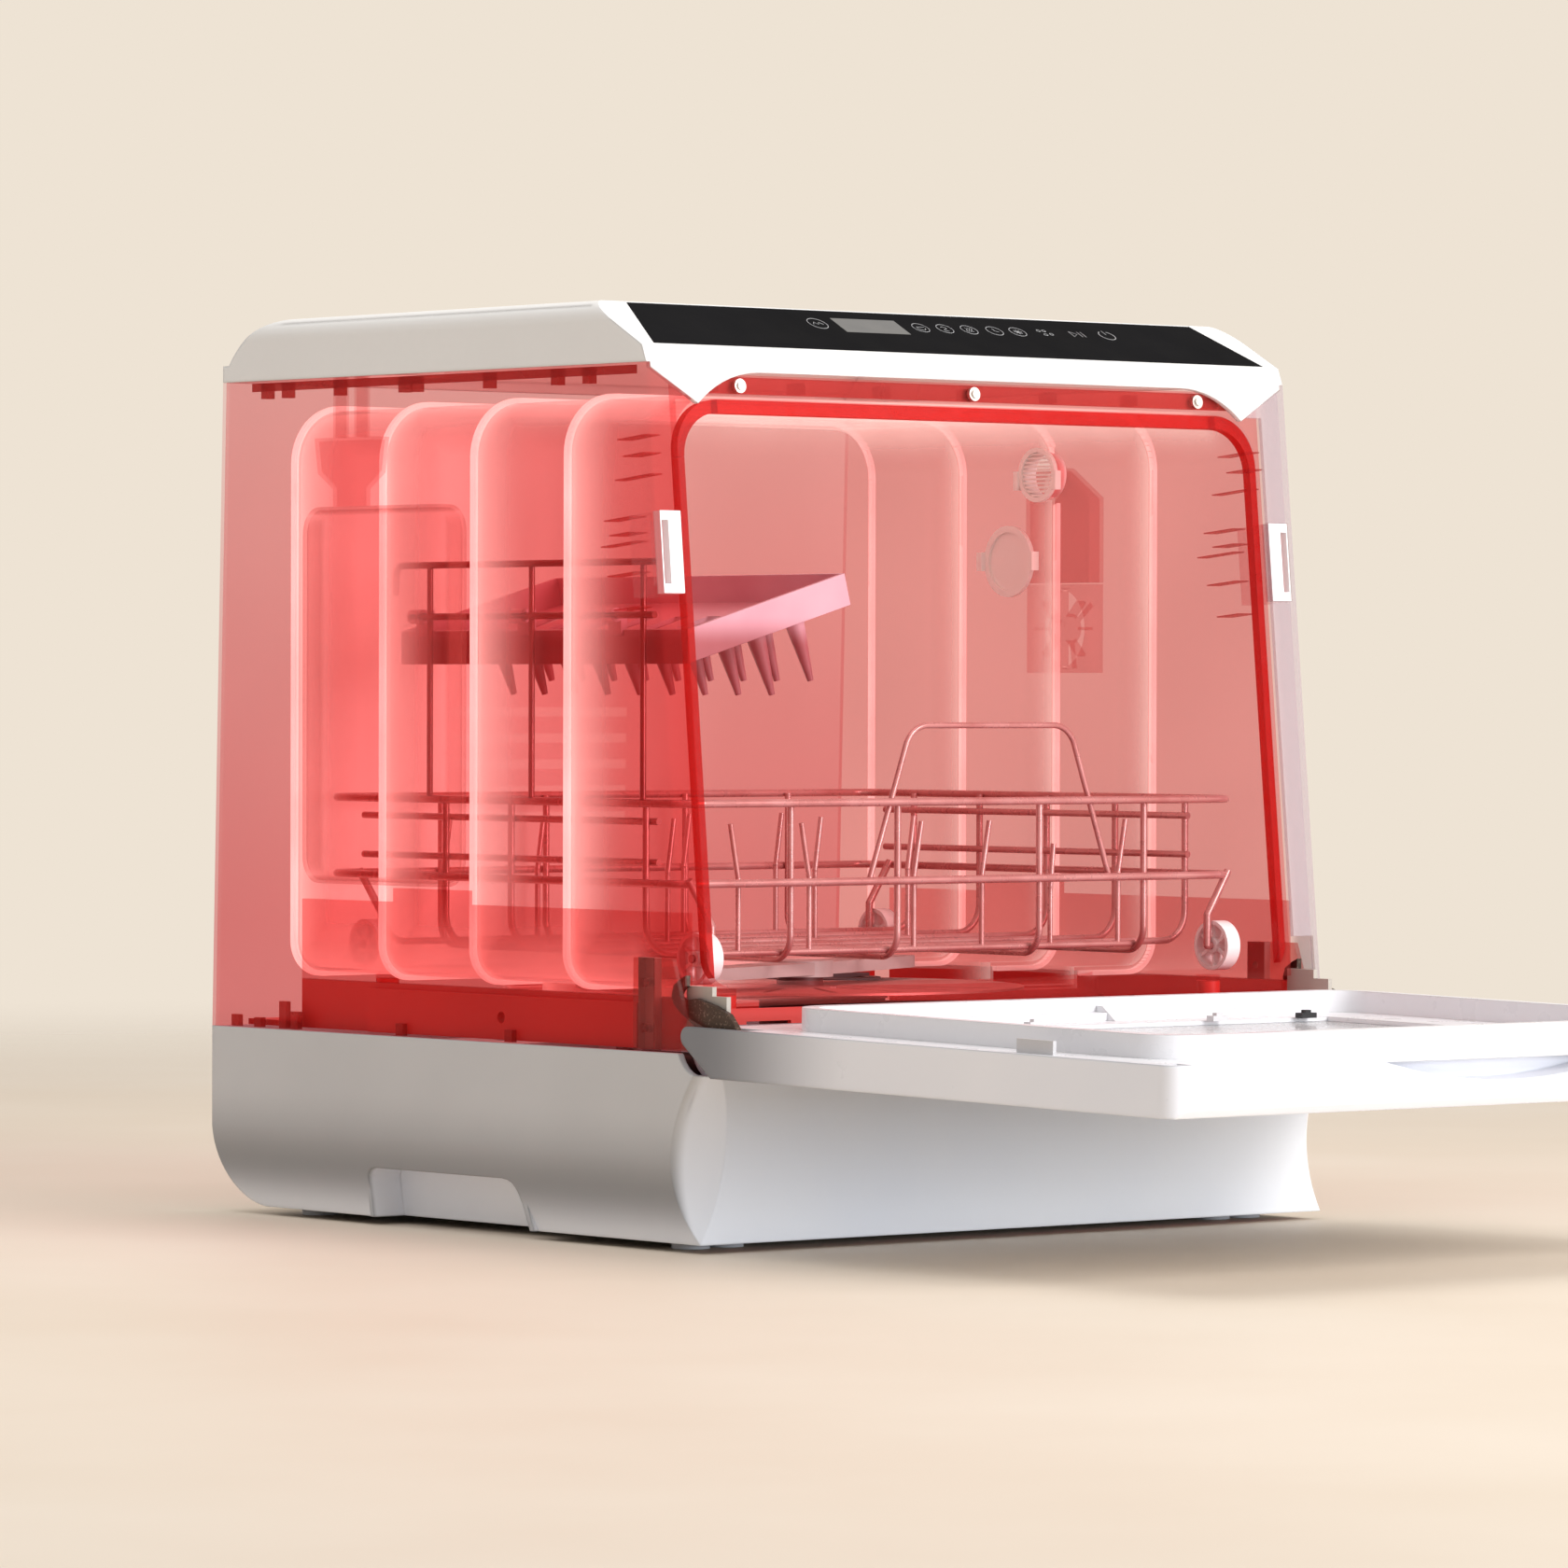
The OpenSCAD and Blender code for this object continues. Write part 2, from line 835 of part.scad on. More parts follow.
module breather_ring() {
    z = breather_z;
    color("#F2E6E2")
        at_body() {
            difference() {
                rod_x(tub_half - 2.5, tub_half, -breather_y, z, breather_d);
                rod_x(tub_half - 3, tub_half + 1, -breather_y, z, breather_d - 7);
            }
            difference() {
                rod_x(tub_half - 1, tub_half + 4, -breather_y, z, breather_d - 12.2);
                rod_x(tub_half - 2, tub_half + 2.5, -breather_y, z, breather_d - 16);
            }
            rod_x(tub_half - 1, tub_half, -breather_y, z, breather_d - 6.9);
            for (s = [-1, 1])
                translate([0, -breather_y + s * (breather_d / 2 + 1.4), 0])
                    box(tub_half - 5, tub_half, -2, 2, z - 5, z + 5);
        }
}

module vent_grille() {
    seat = tub_half - vent_seat;
    color("#F2E6E2")
        at_body()
            translate([0, -vent_y, vent_z]) {
                difference() {
                    rod_x(seat - 2.5, seat, 0, 0, vent_d);
                    rod_x(seat - 3, seat + 1, 0, 0, vent_d - 5);
                }
                intersection() {
                    rod_x(seat - 1.6, seat, 0, 0, vent_d - 4.9);
                    for (i = [-5:5])
                        box(seat - 1.6, seat, -20, 20, i * 2.2 - 0.5, i * 2.2 + 0.5);
                }
                difference() {
                    rod_x(seat - 1, tub_half + 3.5, 0, 0, vent_d - 3.2);
                    rod_x(seat - 2, tub_half + 4, 0, 0, vent_d - 6);
                }
                for (s = [-1, 1])
                    translate([0, s * (vent_d / 2 + 0.8), -3])
                        box(seat - 4, seat, -1.5, 1.5, -5, 5);
            }
}

module vent_duct() {
    z = tub_ceil - 24.7;
    color("#C9A9A6")
        at_body()
            difference() {
                along_x(tub_half + 5.8, half - panel_t - 0.6)
                    polygon([[-216.3, z - 59.5], [-216.3, z - 14.5], [-192.6, z + 1.5], [-166, z + 1.5],
                        [-166, z - 59.5]]);
                along_x(tub_half + 7.3, half - panel_t - 2.1)
                    polygon([[-214.8, z - 60.5], [-214.8, z - 15.3], [-192.1, z], [-167.5, z],
                        [-167.5, z - 60.5]]);
                rod_x(tub_half + 3, tub_half + 7.4, -vent_y + 2, z - 9, 15);
            }
}

module drying_fan() {
    z = tub_ceil - 108;
    color("#3A3A3E")
        at_body() {
            difference() {
                box(tub_half + 5.8, half - panel_t - 0.6, -216, -167, z - 24, z + 23);
                rod_x(tub_half + 3, half, -191.5, z - 0.5, 43);
            }
            rod_x(tub_half + 6.4, half - panel_t - 1.2, -191.5, z - 0.5, 16);
            for (a = [0:45:315])
                translate([tub_half + 7, -191.5, z - 0.5])
                    rotate([a, 0, 0])
                        box(0, 6, 6, 20, -0.8, 0.8);
            for (a = [22, 142, 262])
                translate([half - panel_t - 2, -191.5, z - 0.5])
                    rotate([a, 0, 0])
                        box(0, 1.2, 6, 22, -1.2, 1.2);
        }
}

module side_water_box() {
    z0 = tub_floor + 44.5;
    z1 = tub_ceil - 49;
    x0 = -half + panel_t + 0.8;
    color("#EBC9C2")
        at_body()
            difference() {
                along_x(x0, -tub_half - tub_t - band_h - 0.6)
                    round_rect(-190, z0, -66, z1, 14);
                along_x(x0 + 1.5, -tub_half - tub_t - band_h - 2.1)
                    round_rect(-188.5, z0 + 1.5, -67.5, z1 - 1.5, 12.5);
            }
}

module fill_pipes() {
    x = -half + 8;
    z = tub_ceil - 14;
    color("#EAD8D4")
        at_body() {
            difference() {
                along_x(x - 5, x + 5.3)
                    polygon([[-126, z], [-76, z], [-79, z - 18], [-92, z - 26], [-92, z - 34.9],
                        [-110, z - 34.9],
                        [-110, z - 26], [-123, z - 18]]);
                along_x(x - 3.6, x + 3.9)
                    polygon([[-124, z - 1.5], [-78, z - 1.5], [-80.5, z - 17], [-93.5, z - 25.2],
                        [-93.5, z - 40],
                        [-108.5, z - 40], [-108.5, z - 25.2], [-121.5, z - 17]]);
            }
            for (y = [-110, -92])
                difference() {
                    rod_z(z - 0.5, cover_z + 6, x, y, 8);
                    rod_z(z - 2, cover_z + 4, x, y, 5.6);
                }
        }
}

module fill_port() {
    top = body_h;
    y = -lid_y + lid_r;
    color("#DCDAD8")
        at_body() {
            difference() {
                union() {
                    rod_z(top - 4.5, top, -lid_x, -lid_y, 2 * lid_r + 8);
                    rod_z(cover_z + 1.5, top - 4, -lid_x, -lid_y, 2 * lid_r - 2);
                    rod_x(-half + 3.6, -lid_x - 18, -101, cover_z + 9, 6);
                }
                rod_z(top - 2.6, top + 1, -lid_x, -lid_y, 2 * lid_r + 0.6);
                rod_z(cover_z + 3, top + 1, -lid_x, -lid_y, 2 * lid_r - 6);
                box(-lid_x - 10.5, -lid_x + 10.5, y - 4, y + 6, top - 5, top + 1);
                rod_x(-half + 3, -lid_x - 16, -101, cover_z + 9, 3.6);
            }
            rod_x(-lid_x - 12, -lid_x + 12, y, top - 2.2, 2.1 - 2 * run_gap);
        }
}

module fill_lid() {
    top = body_h;
    y = -lid_y + lid_r;
    color("#F1EFEE")
        at_body() {
            difference() {
                union() {
                    rod_z(top - 2.4, top, -lid_x, -lid_y, 2 * lid_r - 1);
                    rod_x(-lid_x - 6, -lid_x + 6, y, top - 2.2, 4.2);
                    box(-lid_x - 6, -lid_x + 6, y - 5, y, top - 2.4, top - 0.1);
                }
                rod_x(-lid_x - 7, -lid_x + 7, y, top - 2.2, 2.1);
                rod_z(top - 0.9, top + 1, -lid_x, -lid_y - 15, 9);
            }
        }
}

// Inner machinery in the base

module water_tank() {
    y0 = -112;
    y1 = -40;
    color("#D6E2E8")
        at_body()
            difference() {
                box(-half + 12, -50, y0, y1, foot_h + 6, tank_top);
                box(-half + 14, -52, y0 + 2, y1 - 2, foot_h + 8, tank_top - 2);
                rod_z(tank_top - 5, tank_top + 1, -80, -76, 16);
            }
}

module wash_pump() {
    y = -300;
    z = foot_h + 41;
    color("#4A4C52")
        at_body() {
            rod_x(-80, 0, y, z, 62);
            rod_x(0, 22, y, z, 76);
            rod_x(22, 34, y, z, 34);
            rod_z(z, z + 40, 11, y + 28, 17);
            for (x = [-64:14:-22])
                rod_x(x, x + 4, y, z, 66);
            box(-70, 10, y - 20, y + 20, foot_h + 2.5, z - 26);
        }
}

module drain_pump() {
    y = -90;
    z = foot_h + 34;
    color("#3E4046")
        at_body() {
            rod_x(92, 142, y, z, 38);
            rod_x(76, 92, y, z, 48);
            rod_y(y, y + 34, 84, z + 14, 15);
            box(96, 138, y - 12, y + 12, foot_h + 2.5, z - 12);
        }
}

module heater() {
    z = foot_h + 41;
    color("#B9A48C")
        at_body() {
            rod_x(34.05, 120, -300, z, 30);
            rod_x(120, 124, -300, z, 36);
            for (y = [-308, -292])
                rod_x(124, 134, y, z, 5);
            rod_z(z + 10, z + 40, 104, -300, 13);
        }
}

module power_board() {
    z = foot_h + 58;
    y0 = -body_d;
    color("#2F6B46")
        at_body() {
            box(-178, -96, y0 + 31, y0 + 115, z, z + 1.6);
            box(-170, -146, y0 + 43, y0 + 65, z + 1.6, z + 16);
            box(-138, -112, y0 + 41, y0 + 61, z + 1.6, z + 12);
            rod_z(z + 1.6, z + 18, -160, y0 + 83, 12);
            rod_z(z + 1.6, z + 14, -140, y0 + 83, 10);
            box(-126, -104, y0 + 79, y0 + 103, z + 1.6, z + 9);
            for (x = [-172, -102])
                for (y = [y0 + 37, y0 + 109])
                    rod_z(foot_h + 2.5, z, x, y, 6);
        }
}

module water_inlet() {
    color("#C8CCD2")
        at_body()
            difference() {
                union() {
                    rod_y(back_lean, rear_y, 68, 70, 26.4);
                    box(52, 84, back_lean, back_lean + 2, 54, 86);
                    rod_y(back_lean - 16, back_lean, 68, 70, 18);
                }
                rod_y(back_lean - 14, rear_y + 1, 68, 70, 11);
            }
}

module drain_spigot() {
    color("#2E2E32")
        at_body()
            difference() {
                union() {
                    rod_y(back_lean - 16, rear_y, 120, 70, 20);
                    rod_y(back_lean, back_lean + 2, 120, 70, 30);
                }
                rod_y(back_lean - 17, rear_y + 1, 120, 70, 15);
            }
}

module power_inlet() {
    color("#1E1E20")
        at_body()
            difference() {
                union() {
                    box(-164, -137, back_lean - 18, back_lean, 60.5, 80.5);
                    box(-170, -131, back_lean, back_lean + 2.2, 56, 85);
                }
                box(-161, -140, back_lean - 13, back_lean + 3, 63, 78);
            }
}

module hoses() {
    z = foot_h + 48;
    color("#3C3C40")
        at_body() {
            rod_y(-55.8, -24, 84, z, 14);
            rod_x(84, 120, -24, z, 14);
            rod_z(z, 70, 120, -24, 14);
            rod_y(-24, back_lean - 16.2, 120, 70, 14);
            rod_x(-49.8, 68, -56, 70, 12);
            rod_y(-56, back_lean - 16.2, 68, 70, 12);
            rod_z(z + 33.2, tub_floor - 19.5, 11, -272, 15);
            rod_y(-272, -spray_y - 21.2, 11, tub_floor - 24, 12);
            rod_z(z + 33.2, tub_floor - 19.5, 104, -300, 11);
            rod([104, -300, tub_floor - 21], [18, -spray_y - 18, tub_floor - 21], 11);
        }
}

module sump() {
    under = tub_floor - dish_depth - tub_t;
    color("#55565A")
        at_body()
            difference() {
                union() {
                    rod_z(under - 3, under, 0, -spray_y, 90);
                    rod_z(under - 3, under, well_x, -well_y, 92);
                    rod_z(under - 22, under - 2, 0, -spray_y, 42);
                    rod_z(under - 44, under - 2, well_x, -well_y, 2 * well_r + 5);
                    rod_z(under - 3, tub_floor + 1.5, 0, -spray_y, 15.9);
                    rod_z(under - 3, under + 7.5, 0, -spray_y, 24);
                    rod([0, -spray_y, under - 14], [well_x, -well_y, under - 14], 14);
                }
                rod_z(under - 18, tub_floor + 2, 0, -spray_y, 10);
                rod_z(under - 41, tub_floor, well_x, -well_y, 2 * well_r + 2 * run_gap);
            }
}

module fine_filter() {
    z = tub_floor - dish_depth;
    color("#C4C6C8")
        at_body()
            difference() {
                rod_z(z, z + 1.2, 0, -spray_y, 230);
                rod_z(z - 1, z + 2, 0, -spray_y, 32);
                rod_z(z - 1, z + 2, well_x, -well_y, 2 * well_r + 5);
                for (a = [100:20:300])
                    translate([0, -spray_y, z - 1])
                        rotate([0, 0, a])
                            box(34, 104, -2, 2, 0, 3);
            }
}

module coarse_filter() {
    z = tub_floor - dish_depth;
    color("#7A7C80")
        at_body() {
            difference() {
                rod_z(z - 42, z + 2, well_x, -well_y, 2 * well_r);
                rod_z(z - 40, z + 3, well_x, -well_y, 2 * well_r - 4);
                for (a = [0:45:315])
                    translate([well_x, -well_y, 0])
                        rotate([0, 0, a])
                            box(well_r - 4, well_r + 2, -5, 5, z - 34, z - 8);
            }
            difference() {
                rod_z(z, z + 2, well_x, -well_y, 2 * well_r - 3.9);
                rod_z(z - 1, z + 3, well_x, -well_y, 2 * well_r - 16);
            }
            box(well_x - well_r + 1, well_x + well_r - 1, -well_y - 3, -well_y + 3, z, z + 3.6);
        }
}

module spray_arm() {
    z0 = tub_floor - dish_depth + 5.6;
    z1 = z0 + 8.4;
    color("#9B9DA2")
        at_body()
            difference() {
                union() {
                    rod_z(z0, z1, 0, -spray_y, 34);
                    for (s = [0, 180])
                        translate([0, -spray_y, 0])
                            rotate([0, 0, 24 + s]) {
                                linear_extrude_at(z0 + 1.2, z1 - 1)
                                    polygon([[0, -14], [dish_r - 34, -9], [dish_r - 34, 9], [0, 14]]);
                                rod_z(z0 + 1.2, z1 - 1, dish_r - 34, 0, 18);
                            }
                }
                rod_z(z0 - 1, z1 - 1.5, 0, -spray_y, 15.9 + 2 * run_gap);
                for (s = [0, 180])
                    translate([0, -spray_y, 0])
                        rotate([0, 0, 24 + s])
                            for (i = [0:4])
                                rod_z(z1 - 4, z1 + 1, 36 + 18 * i, (i % 2) * 6 - 3, 3);
            }
}

module linear_extrude_at(z0, z1) {
    translate([0, 0, z0])
        linear_extrude(z1 - z0)
            children();
}

// Hinges. The bracket stays with the casing, the arm goes with the door.

module hinge_bracket() {
    translate([0, mid_y - hinge_y, hinge_z])
        difference() {
            union() {
                along_x(half - 13.2, half - 10.6) {
                    circle(7);
                    polygon([[-6.8, 1.5], [0, -4], [21.5, -4], [21.5, 27], [1.9, 27], [1.9, 22.5],
                        [-9, 22.5],
                        [-9, 12.8]]);
                }
                along_x(half - 6, half - 3.6) {
                    circle(7);
                    polygon([[-4, 5.7], [0, -4], [44, -4], [44, 40], [24, 40], [14, 12]]);
                }
                box(half - 10.9, half - 3.6, 41.2, 54, -4, 40);
            }
            rod_x(half - 15, half - 2, 0, 0, 2 * pin_r);
            for (z = [6, 28])
                rod_x(half - 12, half - 2, 48, z, 4.2);
        }
}

module hinge_bracket_left() {
    color("#A8A298")
        mirror([1, 0, 0])
            hinge_bracket();
}

module hinge_bracket_right() {
    color("#A8A298")
        hinge_bracket();
}

module hinge_pins() {
    color("#D0D0D4")
        translate([0, mid_y - hinge_y, hinge_z])
            both_sides()
                rod_x(half - 13.2, half - 3.4, 0, 0, 2 * pin_r);
}

module hinge_arm() {
    on_door()
        difference() {
            union() {
                rod_x(half - 9.7, half - 6.9, 0, 0, 16);
                along_x(half - 9.8, half - 6.8)
                    polygon([[18.2, 31.8], [22.6, 29.9], [27.4, 26.7], [28.9, 21.9], [27, 17.7], [21.7, 13.7],
                        [12.1, 8.6], [5, 4], [-2, -6.7], [-60, -6.7], [-60, 4], [-24, 4], [-20.1, 9],
                        [-14.4, 14.8], [-3.1, 18.3], [10.2, 21.2], [17.4, 20.1], [20.7, 20.3], [23.1, 22],
                        [21.6, 24.5], [18.3, 26.7]]);
            }
            rod_x(half - 11, half - 5, 0, 0, 2 * pin_r + 2 * run_gap);
            rod_x(half - 11, half - 5, -48, -2, 4);
        }
}

module hinge_arm_left() {
    color("#4A4240")
        mirror([1, 0, 0])
            hinge_arm();
}

module hinge_arm_right() {
    color("#4A4240")
        hinge_arm();
}

// Door, drawn with its length along -Y and its inner side up.

module door_side() {
    polygon([[8, edge_w], [10.9, -1.07], [-10, -face_w], [-door_l + 4, -face_w], [-door_l, -face_w + 4],
        [-door_l, edge_w]]);
    translate([8, edge_w - 5])
        circle(5);
}

module door_hollow() {
    polygon([[4, edge_w + 1], [4, 1.5], [-11, -face_w + 2.8], [-door_l + 5, -face_w + 2.8],
        [-door_l + door_wall, -face_w + 5], [-door_l + door_wall, edge_w + 1]]);
}

module door_outer() {
    grip_r = (door_grip_w * door_grip_w / 4 + door_grip_h * door_grip_h) / (2 * door_grip_h);
    color("#E9DDDB")
        on_door()
            difference() {
                union() {
                    difference() {
                        intersection() {
                            along_x(-half, half)
                                door_side();
                            translate([0, 0, -face_w - 1])
                                linear_extrude(door_t + 2)
                                    door_plan(0);
                        }
                        difference() {
                            intersection() {
                                along_x(-half + door_wall, half - door_wall)
                                    door_hollow();
                                translate([0, 0, -face_w - 1])
                                    linear_extrude(door_t + 4)
                                        door_plan(door_wall);
                            }
                            box(-door_grip_w / 2 - 8, door_grip_w / 2 + 8, -door_l, -door_l + 24,
                                -face_w, edge_w - 2.3);
                        }
                    }
                    both_sides()
                        box(half - 6.8, half - door_wall + 0.2, -58, -38, -face_w + 2, 4);
                }
                translate([0, -door_l - 1, edge_w - door_grip_h + grip_r])
                    rotate([-90, 0, 0])
                        cylinder(h = 21, r = grip_r);
                both_sides()
                    box(half - 13.6, half - 3.1, -11, 14, -9, edge_w + 1);
                box(-132, 132, -door_l + 62, -86, -face_w - 1, -face_w + 4);
            }
}

module door_plan(inset) {
    r = 12 - inset;
    translate([-half + inset, -door_l + 12])
        square([body_w - 2 * inset, door_l + 4]);
    translate([-half + 12, -door_l + inset])
        square([body_w - 24, 20]);
    for (s = [-1, 1])
        translate([s * (half - 12), -door_l + 12])
            circle(r);
}

module door_inner() {
    in_x = rim_half - rim_w;
    far = -rim_far();
    color("#E7B4B2")
        on_door()
            difference() {
                union() {
                    box(-half + door_wall + 0.2, half - door_wall - 0.2, -door_l + 12, 2,
                        edge_w - 2.2, edge_w);
                    box(-half + 12, half - 12, -door_l + door_wall + 0.2, -door_l + 13,
                        edge_w - 2.2, edge_w);
                    translate([0, 0, edge_w - 0.1])
                        linear_extrude(rim_h + 0.1)
                            difference() {
                                round_rect(-rim_half, far, rim_half, -31.5, 26);
                                round_rect(-in_x, far + rim_w, in_x, -31.5 - rim_w, 18);
                            }
                    box(-150, 150, -48, -40, edge_w - 0.1, edge_w + 4);
                    along_x(10, 92)
                        polygon([[-54, edge_w - 0.1], [-44, edge_w + 7], [-38, edge_w + 7],
                            [-38, edge_w - 0.1]]);
                }
                box(-138, 138, far + 24, -70, edge_w - 5, edge_w + 1);
                both_sides()
                    box(half - 14, half, -34, 5, edge_w - 5, edge_w + 1);
                both_sides()
                    box(half - 7, half - 2, -60, -34, edge_w - 5, edge_w - 2.4);
            }
}

module door_window() {
    far = -rim_far();
    color("#D9C3C3")
        on_door() {
            box(-142, 142, far + 20, -66, edge_w - 4.3, edge_w - 2.25);
            box(-131.6, 131.6, -door_l + 62.4, -86.4, -face_w, -face_w + 2.5);
        }
}

module window_clips() {
    far = -rim_far();
    color("#1C1A1C")
        on_door()
            for (x = [-120, -60, 60, 120])
                for (y = [far + 18, -76]) {
                    box(x - 5, x + 5, y, y + 5, edge_w, edge_w + 2.6);
                    box(x - 2, x + 2, y + 1, y + 4, edge_w + 2.6, edge_w + 4);
                }
}

module strikers() {
    color("#CFCBCB")
        on_door()
            both_sides() {
                box(half - 6.8, half - 4.8, -latch_at + hinge_rise - striker_l / 2,
                    -latch_at + hinge_rise + striker_l / 2,
                    edge_w, edge_w + 6.5);
                box(half - 12, half - 4.8, -latch_at + hinge_rise - striker_l / 2,
                    -latch_at + hinge_rise + striker_l / 2, edge_w, edge_w + 0.6);
            }
}

// Basket

module basket_hoops() {
    color("#B8A6A6")
        at_body() {
            wire_loop(basket_x, -basket_front, -basket_rear, rim_top, 12, rim_d);
            wire_loop(basket_x, -basket_front, -basket_rear, rim_mid, 12, rim_d);
        }
}

module basket_runners() {
    color("#B8A6A6")
        at_body()
            for (k = [-0.615, -0.236, 0.280, 0.670])
                translate([k * basket_x, 0, 0])
                    rotate([90, 0, 90])
                        wire_u(-basket_front + rib_in, -basket_rear - rib_in, runner_z, rim_top, 12, wire_d);
}

module basket_ribs() {
    side = basket_x - rib_in;
    color("#B8A6A6")
        at_body() {
            for (k = [0:4])
                translate([0, -basket_front + basket_l * (0.1164 + 0.185 * k), 0])
                    rotate([90, 0, 0])
                        wire_u(-side, side, rib_z, rim_top, 15, wire_d);
        }
}

// A tine that stands up straight and then leans sideways.
module tine(x, y, z, h, lean_x) {
    bend_z = z + h * 0.57;
    rod_z(z, bend_z, x, y, tine_d);
    translate([x, y, bend_z])
        sphere(d = tine_d + 0.3);
    rod([x, y, bend_z], [x + lean_x, y, z + h], tine_d);
}

module basket_tines() {
    y = -basket_front + basket_l * 0.0377;
    side = basket_x - rib_in;
    color("#B8A6A6")
        at_body() {
            rod_x(-0.846 * basket_x, 0.67 * basket_x, y, rib_z, wire_d);
            for (k = [-0.764, -0.516])
                tine(k * basket_x, y, rib_z, tine_h, -5);
            for (k = [-0.143, 0.104, 0.61])
                tine(k * basket_x, y, rib_z, tine_h, 5);
            tine(0.357 * basket_x, y, rib_z, tine_h - 12, 2);
            for (j = [2, 4])
                for (k = [-0.764, -0.43, 0.104, 0.45])
                    tine(k * basket_x, -basket_front + basket_l * (0.1164 + 0.185 * j), rib_z, tine_h, 4);
            for (s = [-1, 1])
                for (z = [rim_mid + 10, rim_top - 9])
                    rod_y(-basket_front + 28, -basket_rear - 22, s * (side - wire_d + weld), z, wire_d);
        }
}

module plate_stop() {
    d = 3;
    r = 15;
    mid = 0.1 * basket_x;
    foot = 80;
    top = 52.5;
    z1 = rim_mid + stop_h;
    a = atan(stop_h / (foot - top));
    c = [top - r * tan(a / 2), z1 - r];
    color("#B8A6A6")
        at_body()
            translate([mid, -basket_front + 3.35, 0])
                rotate([90, 0, 0]) {
                    for (s = [0, 180])
                        rotate([0, s, 0]) {
                            translate([c[0], c[1], 0])
                                bend(r, d, 90 - a, a);
                            rod([foot, rim_mid - 0.5, 0], [c[0] + r * sin(a), c[1] + r * cos(a), 0], d);
                        }
                    rod([-c[0], z1, 0], [c[0], z1, 0], d);
                }
}

module basket_leg(y) {
    x_in = wheel_x - rim_d / 2 - 0.6;
    x_out = basket_x - rim_d + 0.15;
    knee = wheel_z + wheel_r + 3;
    rod([x_out, y, rim_mid + 2], [x_in, y, knee], rim_d);
    translate([x_in, y, knee])
        sphere(d = rim_d);
    rod_z(wheel_z, knee, x_in, y, rim_d);
    translate([x_in, y, wheel_z])
        sphere(d = rim_d);
    rod_x(x_in, wheel_x + wheel_w + 1.4, y, wheel_z, rim_d);
}

module basket_legs() {
    color("#B8A6A6")
        at_body()
            both_sides() {
                basket_leg(-wheel_front);
                basket_leg(-wheel_rear);
            }
}

module wheel(x, y) {
    color("#F0ECEC")
        at_body()
            translate([x, -y, wheel_z])
                rotate([0, 90, 0])
                    difference() {
                        union() {
                            difference() {
                                cylinder(h = wheel_w, r = wheel_r);
                                translate([0, 0, -1])
                                    cylinder(h = wheel_w + 2, r = wheel_r - 2);
                            }
                            cylinder(h = wheel_w, r = 4);
                            for (a = [0:60:300])
                                rotate([0, 0, a])
                                    translate([2.5, -0.9, 1.6])
                                        cube([wheel_r - 4, 1.8, wheel_w - 3.2]);
                        }
                        translate([0, 0, -1])
                            cylinder(h = wheel_w + 2, r = rim_d / 2 + run_gap);
                    }
}

module wheel_front_left() {
    wheel(-wheel_x - wheel_w, wheel_front);
}

module wheel_front_right() {
    wheel(wheel_x, wheel_front);
}

module wheel_rear_left() {
    wheel(-wheel_x - wheel_w, wheel_rear);
}

module wheel_rear_right() {
    wheel(wheel_x, wheel_rear);
}

// Cup shelf

module cup_shelf_frame() {
    x = -basket_x;
    y0 = -basket_front + 8;
    y1 = -basket_rear - 58;
    color("#8C3434")
        at_body() {
            for (y = [y0 + 24, y0 + 113, y0 + 197])
                rod_z(rim_top + rim_d / 2 - weld, rail_top - 0.5, x, y, wire_d - 0.4);
            rod_y(y0 + 6, y1 - 6, x, rail_top, wire_d);
            translate([x, y0 + 6, rail_top - 6])
                rotate([90, 0, 90])
                    bend(6, wire_d, 90, 90);
            translate([x, y1 - 6, rail_top - 6])
                rotate([90, 0, 90])
                    bend(6, wire_d, 0, 90);
            rod_z(rail_top - 15, rail_top - 6, x, y0, wire_d);
            rod_z(rail_top - 15, rail_top - 6, x, y1, wire_d);
            rod_y(y0 + 15, y1 - 12, x, hook_z, wire_d);
        }
}

module cup_shelf() {
    x = -basket_x;
    y0 = -basket_front + 3;
    y1 = y0 + shelf_l;
    r_in = wire_d / 2 + run_gap;
    color("#D99AA8")
        at_body()
            translate([x, 0, hook_z]) {
                for (y = [y0 + 50, y0 + 123, y0 + 207])
                    difference() {
                        union() {
                            rod_y(y, y + 10, 0, 0, 7.2);
                            box(2.6, 6.6, y, y + 10, -10, 3.4);
                        }
                        rod_y(y - 1, y + 11, 0, 0, 2 * r_in);
                        box(-6, 0, y - 1, y + 11, -1.2, 1.2);
                    }
                difference() {
                    along_y(y0, y1)
                        shelf_side(0);
                    along_y(y0 + 2.2, y1 - 2.2)
                        shelf_side(2.2);
                    for (i = [0:7])
                        box(24, shelf_w - 22, y0 + 14 + 26 * i, y0 + 26 + 26 * i, -30, 0);
                }
                for (i = [0:8])
                    for (x = [shelf_w * 0.5, shelf_w * 0.72])
                        translate([x, y0 + 12 + 26 * i, -shelf_wall_h - 6.6 + (x - 4.4) * tan(shelf_tilt)])
                            rotate([0, 160, 0])
                                cylinder(h = finger_l, r1 = 5.2, r2 = 1.6);
            }
}

// The shelf seen from the front, its hinge wire at the origin.
module shelf_side(inset) {
    c = shelf_w * cos(shelf_tilt) - inset;
    k = tan(shelf_tilt);
    low = -shelf_wall_h - 8 + inset * 1.05;
    high = low + shelf_wall_h / cos(shelf_tilt) + (inset > 0 ? 4 : 0);
    polygon([[4.4 + inset, low + inset * k], [c, low + (c - 4.4) * k], [c - 4, high + (c - 8.4) * k],
        [4.4 + inset, high]]);
}

